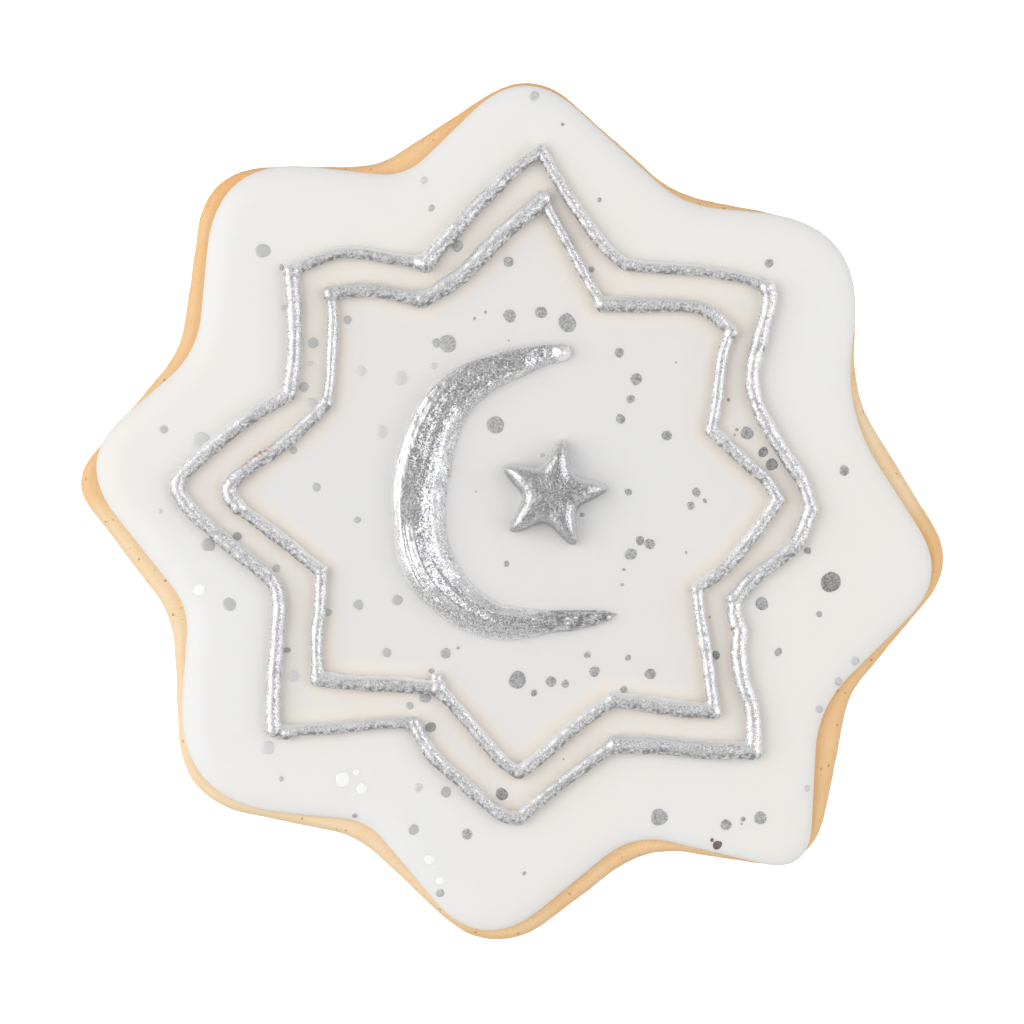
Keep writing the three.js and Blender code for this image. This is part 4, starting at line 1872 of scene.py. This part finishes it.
@dataclass
class Studio:
    """Camera, floor, sky and two low softboxes."""

    icing_top: float
    camera_height: float = 0.45
    frame_width: float = 0.10752
    sensor: float = 36.0
    nearest: float = 0.01
    floor_size: float = 3.0
    floor_shade: float = 0.6
    floor_glow: float = 0.9
    page: float = 0.95
    zenith: float = 0.17
    sky_up: float = 0.56
    sky_down: float = 0.66
    sky_ends: tuple[float, float] = (-0.6, 0.5)
    zenith_ends: tuple[float, float] = (0.6, 0.95)
    softboxes: tuple[Softbox, ...] = field(default_factory=lambda: (
        Softbox("left_softbox", (-0.64, 0.04, 0.58), (0.9, 0.9), 4.85, (1.0, 0.985, 0.965)),
        Softbox("right_softbox", (0.64, 0.04, 0.58), (0.9, 0.9), 3.1, (0.985, 0.992, 1.0))))

    def build(self) -> None:
        """Sets up everything that is not the cookie."""
        self.build_camera()
        self.build_floor()
        self.build_sky()
        for softbox in self.softboxes:
            softbox.build()

    def build_camera(self) -> None:
        """Hangs the camera straight above the icing."""
        height = self.icing_top * MM + self.camera_height
        bpy.ops.object.camera_add(location=(0.0, 0.0, height), rotation=(0.0, 0.0, 0.0))
        camera = bpy.context.object
        camera.data.sensor_width = self.sensor
        camera.data.lens = self.sensor * self.camera_height / self.frame_width
        camera.data.clip_start = self.nearest
        bpy.context.scene.camera = camera

    def build_floor(self) -> None:
        """Lays a plain pale floor that glows for the camera alone."""
        bpy.ops.mesh.primitive_plane_add(size=self.floor_size, location=(0.0, 0.0, 0.0))
        floor = bpy.context.object
        floor.name = "floor"
        material, wiring, shader = new_material("pale_floor")
        seen = wiring.add("LightPath").outputs["Is Camera Ray"]
        wiring.feed(shader, {"Base Color": rgba((self.floor_shade,) * 3), "Roughness": 0.9,
                             "Specular IOR Level": 0.0, "Emission Color": rgba((1.0, 1.0, 1.0)),
                             "Emission Strength": wiring.math("MULTIPLY", seen,
                                                              self.floor_glow)})
        floor.data.materials.append(material)

    def build_sky(self) -> None:
        """Makes a sky that is dim overhead and a little brighter down the design than up it."""
        world = bpy.data.worlds.new("soft_studio")
        bpy.context.scene.world = world
        world.use_nodes = True
        wiring = Wiring(world.node_tree)
        way = wiring.add("SeparateXYZ", {0: wiring.add("TexCoord").outputs["Generated"]}).outputs
        around = wiring.ramp(way["Y"], *self.sky_ends, self.sky_down, self.sky_up)
        overhead = wiring.ramp(way["Z"], *self.zenith_ends)
        level = wiring.add("Mix", {0: overhead, 2: around, 3: self.zenith}).outputs[0]
        seen = wiring.add("LightPath").outputs["Is Camera Ray"]
        shown = wiring.add("Mix", {0: seen, 2: level, 3: self.page}).outputs[0]
        wiring.feed(world.node_tree.nodes["Background"],
                    {"Strength": shown, "Color": rgba((1.0, 1.0, 1.0))})
        bpy.context.scene.view_settings.view_transform = "Standard"


# ------------------------------------------------------------------------------- main


def bead_tree(*outlines: PipedOutline) -> kdtree.KDTree:
    """Makes a search tree over the middles of piped outlines.

    Args:
        outlines: the outlines that are looked for.

    Returns:
        The tree, balanced, its places in millimetres and on z = 0.
    """
    points = [point for outline in outlines for point in outline.middles()]
    tree = kdtree.KDTree(len(points))
    for index, point in enumerate(points):
        tree.insert((point.x, point.y, 0.0), index)
    tree.balance()
    return tree


def silver_lustres(effects: SharedEffects) -> tuple[bpy.types.Material, ...]:
    """Makes the lustres of the built-up and piped forms.

    Args:
        effects: the shared node groups.

    Returns:
        The materials of the piped lines, the crescent and the star.
    """
    piped = SilverFinish("piped_silver_lustre", (0.50, 0.50, 0.515), (0.97, 0.97, 0.98),
                         tilt=0.44, gloss=0.46)
    brushed = SilverFinish("brushed_silver_lustre", (0.42, 0.42, 0.43), (0.96, 0.96, 0.97),
                           tilt=0.32, gloss=0.34)
    puffy = SilverFinish("puffy_silver_lustre", (0.40, 0.40, 0.41), (0.80, 0.80, 0.81),
                         tilt=0.24, gloss=0.36)
    return tuple(lustre.material(effects) for lustre in (piped, brushed, puffy))


def spatter_tones(base: float) -> tuple[Spatter, ...]:
    """Sorts the spatter by tone.

    Args:
        base: height of the icing's top, in millimetres.

    Returns:
        The drops of each tone.
    """
    return (
        Spatter("grey", (0.29, 0.29, 0.295), (0.58, 0.58, 0.58), 0.1, base, GREY_DROPS),
        Spatter("dark", (0.18, 0.18, 0.18), (0.44, 0.44, 0.44), 0.1, base, DARK_DROPS),
        Spatter("pale", (0.54, 0.54, 0.54), (0.74, 0.74, 0.75), 0.1, base, PALE_DROPS),
        # Painted glints on reflective flakes.
        Spatter("glint", (0.92, 0.92, 0.94), (0.99, 0.99, 1.0), 0.0, base, GLINT_DROPS),
        Spatter("brown", (0.13, 0.105, 0.095), (0.25, 0.205, 0.19), 0.1, base, BROWN_DROPS))


def main() -> None:
    """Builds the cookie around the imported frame, part by part."""
    logging.basicConfig(level=logging.INFO, format="%(name)s: %(message)s")
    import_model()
    deselect_all()
    biscuit_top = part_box("biscuit")[1].z / MM
    icing_top, star_top = (corner.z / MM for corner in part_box("star"))

    Studio(icing_top).build()
    effects = SharedEffects()
    piped, brushed, puffy = silver_lustres(effects)
    outer = PipedOutline("outer_piping", "outer_line", 3.0, icing_top, OUTER_STROKES, OUTER_BLOBS)
    inner = BrownedOutline("inner_piping", "inner_line", 8.0, icing_top, INNER_STROKES,
                           INNER_BLOBS)

    Biscuit(biscuit_top).build(DoughFinish().material(effects))
    coat = IcingCoat(biscuit_top, icing_top, bead_tree(outer, inner), bead_tree(outer))
    icing = coat.build(IcingFinish().material(effects))
    outer.build(piped)
    inner.build(piped)
    Crescent(icing_top).build(brushed)
    PuffyStar(icing_top, star_top).build(puffy)
    for spatter in spatter_tones(icing_top):
        spatter.build(effects, icing)


if __name__ == "__main__":
    main()
